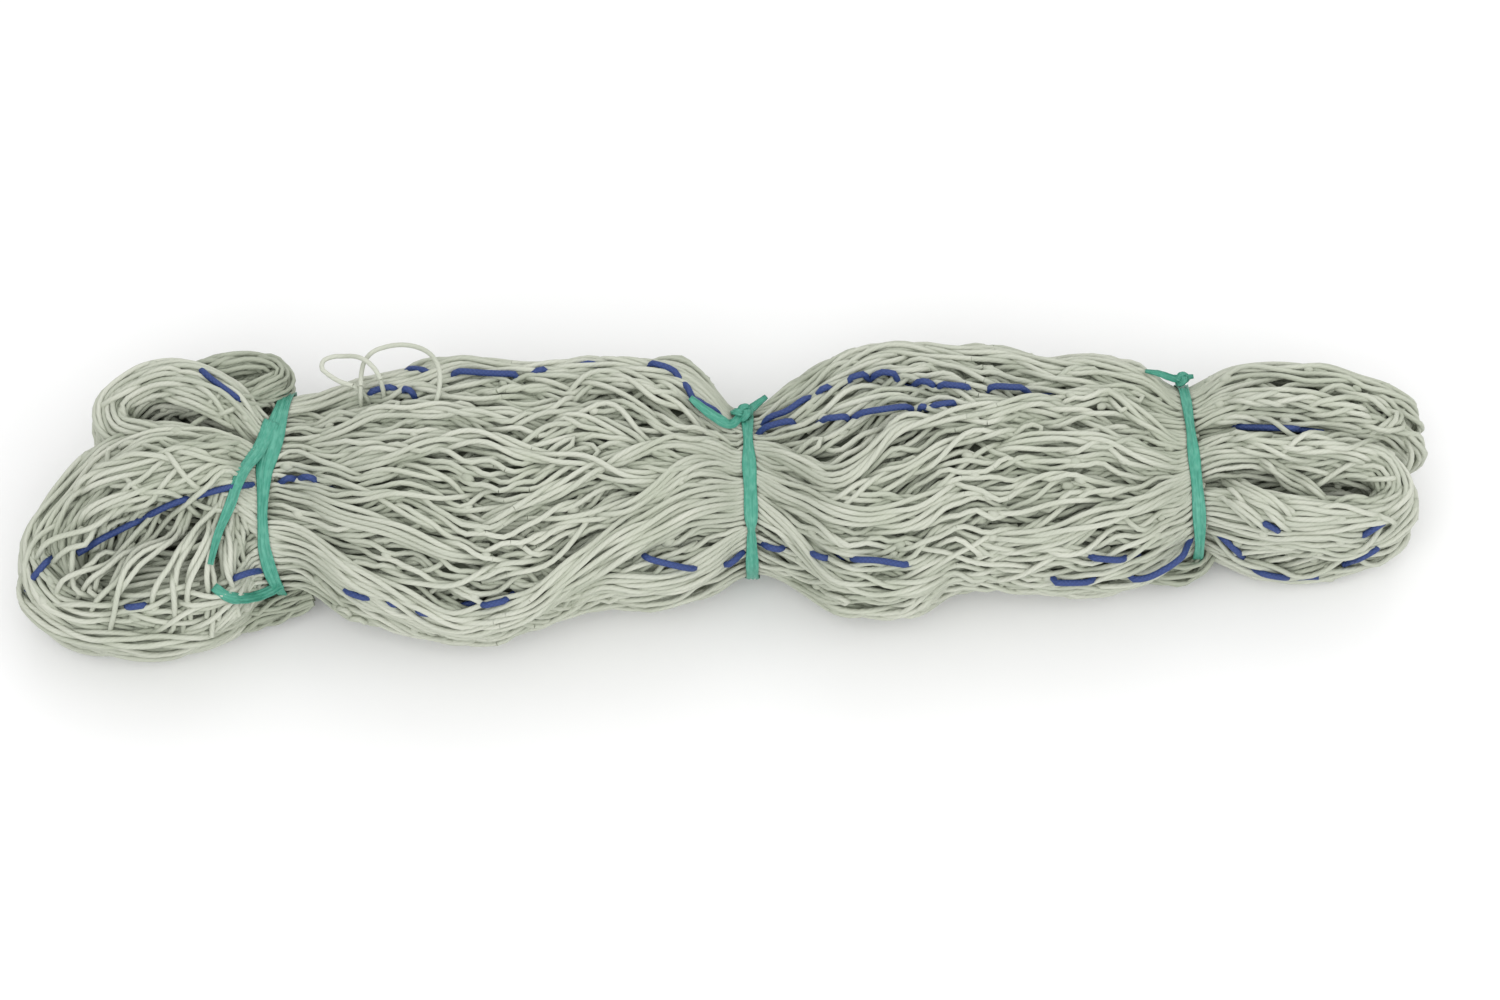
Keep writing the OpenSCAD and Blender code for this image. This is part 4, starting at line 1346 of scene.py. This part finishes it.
def solid(name, verts, faces, finish, **values):
    mesh = mesh_of(name, verts, faces=faces, **values)
    work = bmesh.new()
    work.from_mesh(mesh)
    bmesh.ops.recalc_face_normals(work, faces=work.faces)
    work.to_mesh(mesh)
    work.free()
    mesh.shade_smooth()
    mesh.materials.append(finish)
    return new_object(name, mesh)


def tube_faces(rings, around, base=0, closed=False):
    """Faces of a tube through rings of points, with capped ends unless it is closed."""
    faces = [
        tuple(base + n for n in (k * around + m, k * around + (m + 1) % around,
                                 (k + 1) % rings * around + (m + 1) % around, (k + 1) % rings * around + m))
        for k in range(rings if closed else rings - 1) for m in range(around)
    ]
    if not closed:
        last = base + (rings - 1) * around
        faces += [tuple(base + m for m in range(around))[::-1], tuple(last + m for m in range(around))]
    return faces


# --- the imported netting inside, seen only through the gaps: a solid in painted shade ---
CORE_SHARE = np.arange(28) / 28


def core(group, tubes):
    verts, faces = [], []
    for rings in tubes:
        faces += tube_faces(len(rings), len(CORE_SHARE), sum(len(v) for v in verts))
        verts += rings
    bend_with(solid(group + "_inner", np.concatenate(verts), faces, inner))


def lobe_core(lobe, first, last):
    rings = []
    for x in np.linspace(first, last, 20):
        near_tie = np.exp(-(((x - lobe.start) / 14) ** 2)) + np.exp(-(((x - lobe.end) / 14) ** 2))
        ring = lobe.place(np.full(len(CORE_SHARE), x), CORE_SHARE, 13.5 + 5 * near_tie)[0]
        rings.append(lean_ties(ring))
    return [rings]


def loop_core(*loops):
    return [
        [loop.place(np.full(len(CORE_SHARE), k), CORE_SHARE, 0.66 * loop.w[k])[0]
         for k in range(6, len(loop.s) - 6, 2)]
        for loop in loops
    ]


core("left_end", loop_core(left_main_loop, left_back_loop))
for name, lobe in (("left_middle", left_middle), ("right_middle", right_middle)):
    core(name + "_a", lobe_core(lobe, lobe.start, lobe.middle))
    core(name + "_b", lobe_core(lobe, lobe.middle, lobe.end))
core("right_end", loop_core(right_back_loop, right_front_loop))


# --- ties: crumpled flat tape ---
def tape(name, line, out, width, seed, closed=False, thick=0.7):
    """A crumpled strip of flat tape along a line; out is the way its face looks."""
    rng = np.random.default_rng(seed)
    n = len(line)
    along = unit(np.roll(line, -1, 0) - np.roll(line, 1, 0)) if closed else unit(np.gradient(line, axis=0))
    out = square_to(out, along)
    side = np.cross(out, along)
    turn = np.arange(n) * (tau * 3 / n if closed else 0.05)
    verts, rows = [], []
    for face_side in (1, -1):
        for a in np.linspace(-1, 1, 11)[::face_side]:
            fold = 0.3 * np.cos(3.2 * pi * a + 2 * np.sin(turn) + 1)
            fold = fold + 0.22 * np.cos(5.3 * pi * a + 1.7 * np.sin(2 * turn))
            edge = 0.25 * width * np.abs(a) * np.sin(np.arange(n) * (tau * 5 / n) + rng.uniform(0, 0.4))
            reach = a * width / 2 + np.sign(a) * 0.08 * edge
            level = fold + face_side * thick / 2 * (1 - 0.5 * a**4)
            verts.append(line + side * reach[:, None] + out * level[:, None])
            rows.append(a)
    verts = np.stack(verts, 1).reshape(-1, 3)
    faces = tube_faces(n, len(rows), closed=closed)
    return solid(name, verts, faces, green, across=np.tile(rows, n),
                 along=np.repeat(np.arange(n) * 1.5, len(rows)))


def knot(name, at, facing, along, size, seed):
    """A tight overhand knot of tape."""
    facing = unit(np.asarray(facing, float))
    along = unit(np.asarray(along, float) - facing * np.dot(facing, along))
    across = np.cross(facing, along)
    t = np.linspace(0, tau, 73)[:-1]
    x, y, z = np.sin(t) + 2 * np.sin(2 * t), np.cos(t) - 2 * np.cos(2 * t), -np.sin(3 * t)
    line = at + size * (along * x[:, None] + across * y[:, None] * 0.8 + facing * (0.9 * z + 0.9)[:, None])
    return tape(name, line, facing + 0.6 * unit(line - at), size * 2.6, seed, closed=True, thick=size * 1.1)


def bend_tie(thing, node):
    bend_with(thing, [node])


def band(number, width, seed):
    """The tape once round the hank at a tie; width holds it at shares of the way round."""
    tie, lobe, x = WAISTS[number - 1]
    line, out = lobe.place(np.full(len(BAND_SHARE), x), BAND_SHARE, -0.2)
    name = f"tie_{number}_band"
    bend_tie(tape(name + "_tape", lean_ties(line), out, width, seed, closed=True), name)


def tail(name, rows, widths, seed, node):
    line, s = route(rows, 1.5)
    wide = np.interp(s, np.linspace(0, s[-1], len(widths)), widths)
    bend_tie(tape(name, line, (0, -0.35, 1.0), wide, seed), node)


def on_lobe(lobe, rows, lift):
    """Points on a lobe from x and height across the upper front face."""
    rows = np.array(rows, float)
    return lobe.place(rows[:, 0], face(rows[:, 1]), -lift)[0]


def over_strands(rows, lift=1.6):
    """A line over the settled strands through rows of x and slanting height."""
    line, _ = route([(x, height, 0) for x, height in rows], 1.5)
    return drape(points, line[:, :2], lift)


BAND_SHARE = np.arange(160) / 160
turns = tau * BAND_SHARE
band(1, 6 + 5.5 * np.exp(-(((BAND_SHARE - face(0.6)) / 0.07) ** 2)) + 0.7 * np.sin(5 * turns), 71)
twist = 1.8 * np.exp(-(((BAND_SHARE - face(-0.45)) / 0.012) ** 2))
band(2, 6.3 + 0.9 * np.sin(4 * turns) + 0.6 * np.sin(9 * turns) - twist, 72)
band(3, 5.6 + 0.8 * np.sin(3 * turns + 1) + 0.5 * np.sin(8 * turns), 73)

split = over_strands([(-225, 33), (-231, 17), (-236, 9), (-241, -6), (-247, -23), (-250, -38)])
tail("tie_1_split_tape", split, [8, 7, 6, 4.5, 3], 81, "tie_1_split_end")
lower = over_strands([(-249, -49), (-242, -54), (-234, -55), (-225, -52), (-218, -48)])
tail("tie_1_lower_tape", lower, [4.5, 5.5, 5, 5.5, 5], 82, "tie_1_lower_end")

knot_2 = on_lobe(left_middle, [(10, 0.86)], 2.0)[0]
bend_tie(knot("tie_2_knot_tape", knot_2, (0, 0.25, 1), (0.9, 0.3, 0), 1.5, 91), "tie_2_knot")
left_tail = [knot_2, *on_lobe(left_middle, [(3, 0.68), (-3, 0.63), (-10, 0.63), (-16, 0.66)], 2.0)]
tail("tie_2_left_tape", left_tail, [4, 5, 5.5, 4.5, 3], 92, "tie_2_left_end")
right_tail = [knot_2, *on_lobe(right_middle, [(14.5, 0.9), (18, 0.92), (22, 0.94)], 2.4)]
tail("tie_2_right_tape", right_tail, [4, 4.5, 3.5, 2.5], 93, "tie_2_right_end")

knot_3 = on_lobe(right_middle, [(231, 0.97)], 1.6)[0]
bend_tie(knot("tie_3_knot_tape", knot_3, (0, 0.3, 1), (0.9, 0.2, 0), 1.25, 94), "tie_3_knot")
left_tail = [knot_3, *on_lobe(right_middle, [(226, 0.93), (219, 0.9), (212, 0.87)], 2.0)]
tail("tie_3_left_tape", left_tail, [3.5, 4, 3.5, 2], 95, "tie_3_left_end")
tail("tie_3_right_tape", knot_3 + np.array([(0, 0, 0), (3, 1, 1), (6.5, 1.5, 1.2)]), [3, 3, 2], 96,
     "tie_3_right_end")

# --- floor and light ---
bpy.ops.mesh.primitive_plane_add(size=12)
floor = bpy.context.object
floor.name = "floor"
floor.data.materials.append(simple_material("pale floor", (0.86, 0.86, 0.86), 0.9)[0])
for name, place, size, power in (
    ("soft key", (-0.5, -1.5, 2.1), 2.2, 26), ("soft fill", (1.6, -0.9, 1.4), 2.0, 13),
    ("soft back", (0.2, 1.8, 1.6), 2.0, 9),
):
    light = bpy.data.lights.new(name, "AREA")
    light.size, light.energy = size, power
    point_at(new_object(name, light), Vector(place), Vector((0, 0, 0)))
world = bpy.data.worlds.new("studio")
world.use_nodes = True
background = world.node_tree.nodes["Background"]
background.inputs["Color"].default_value = (1, 1, 1, 1)
background.inputs["Strength"].default_value = 0.86
bpy.context.scene.world = world
bpy.context.scene.view_settings.view_transform = "Standard"
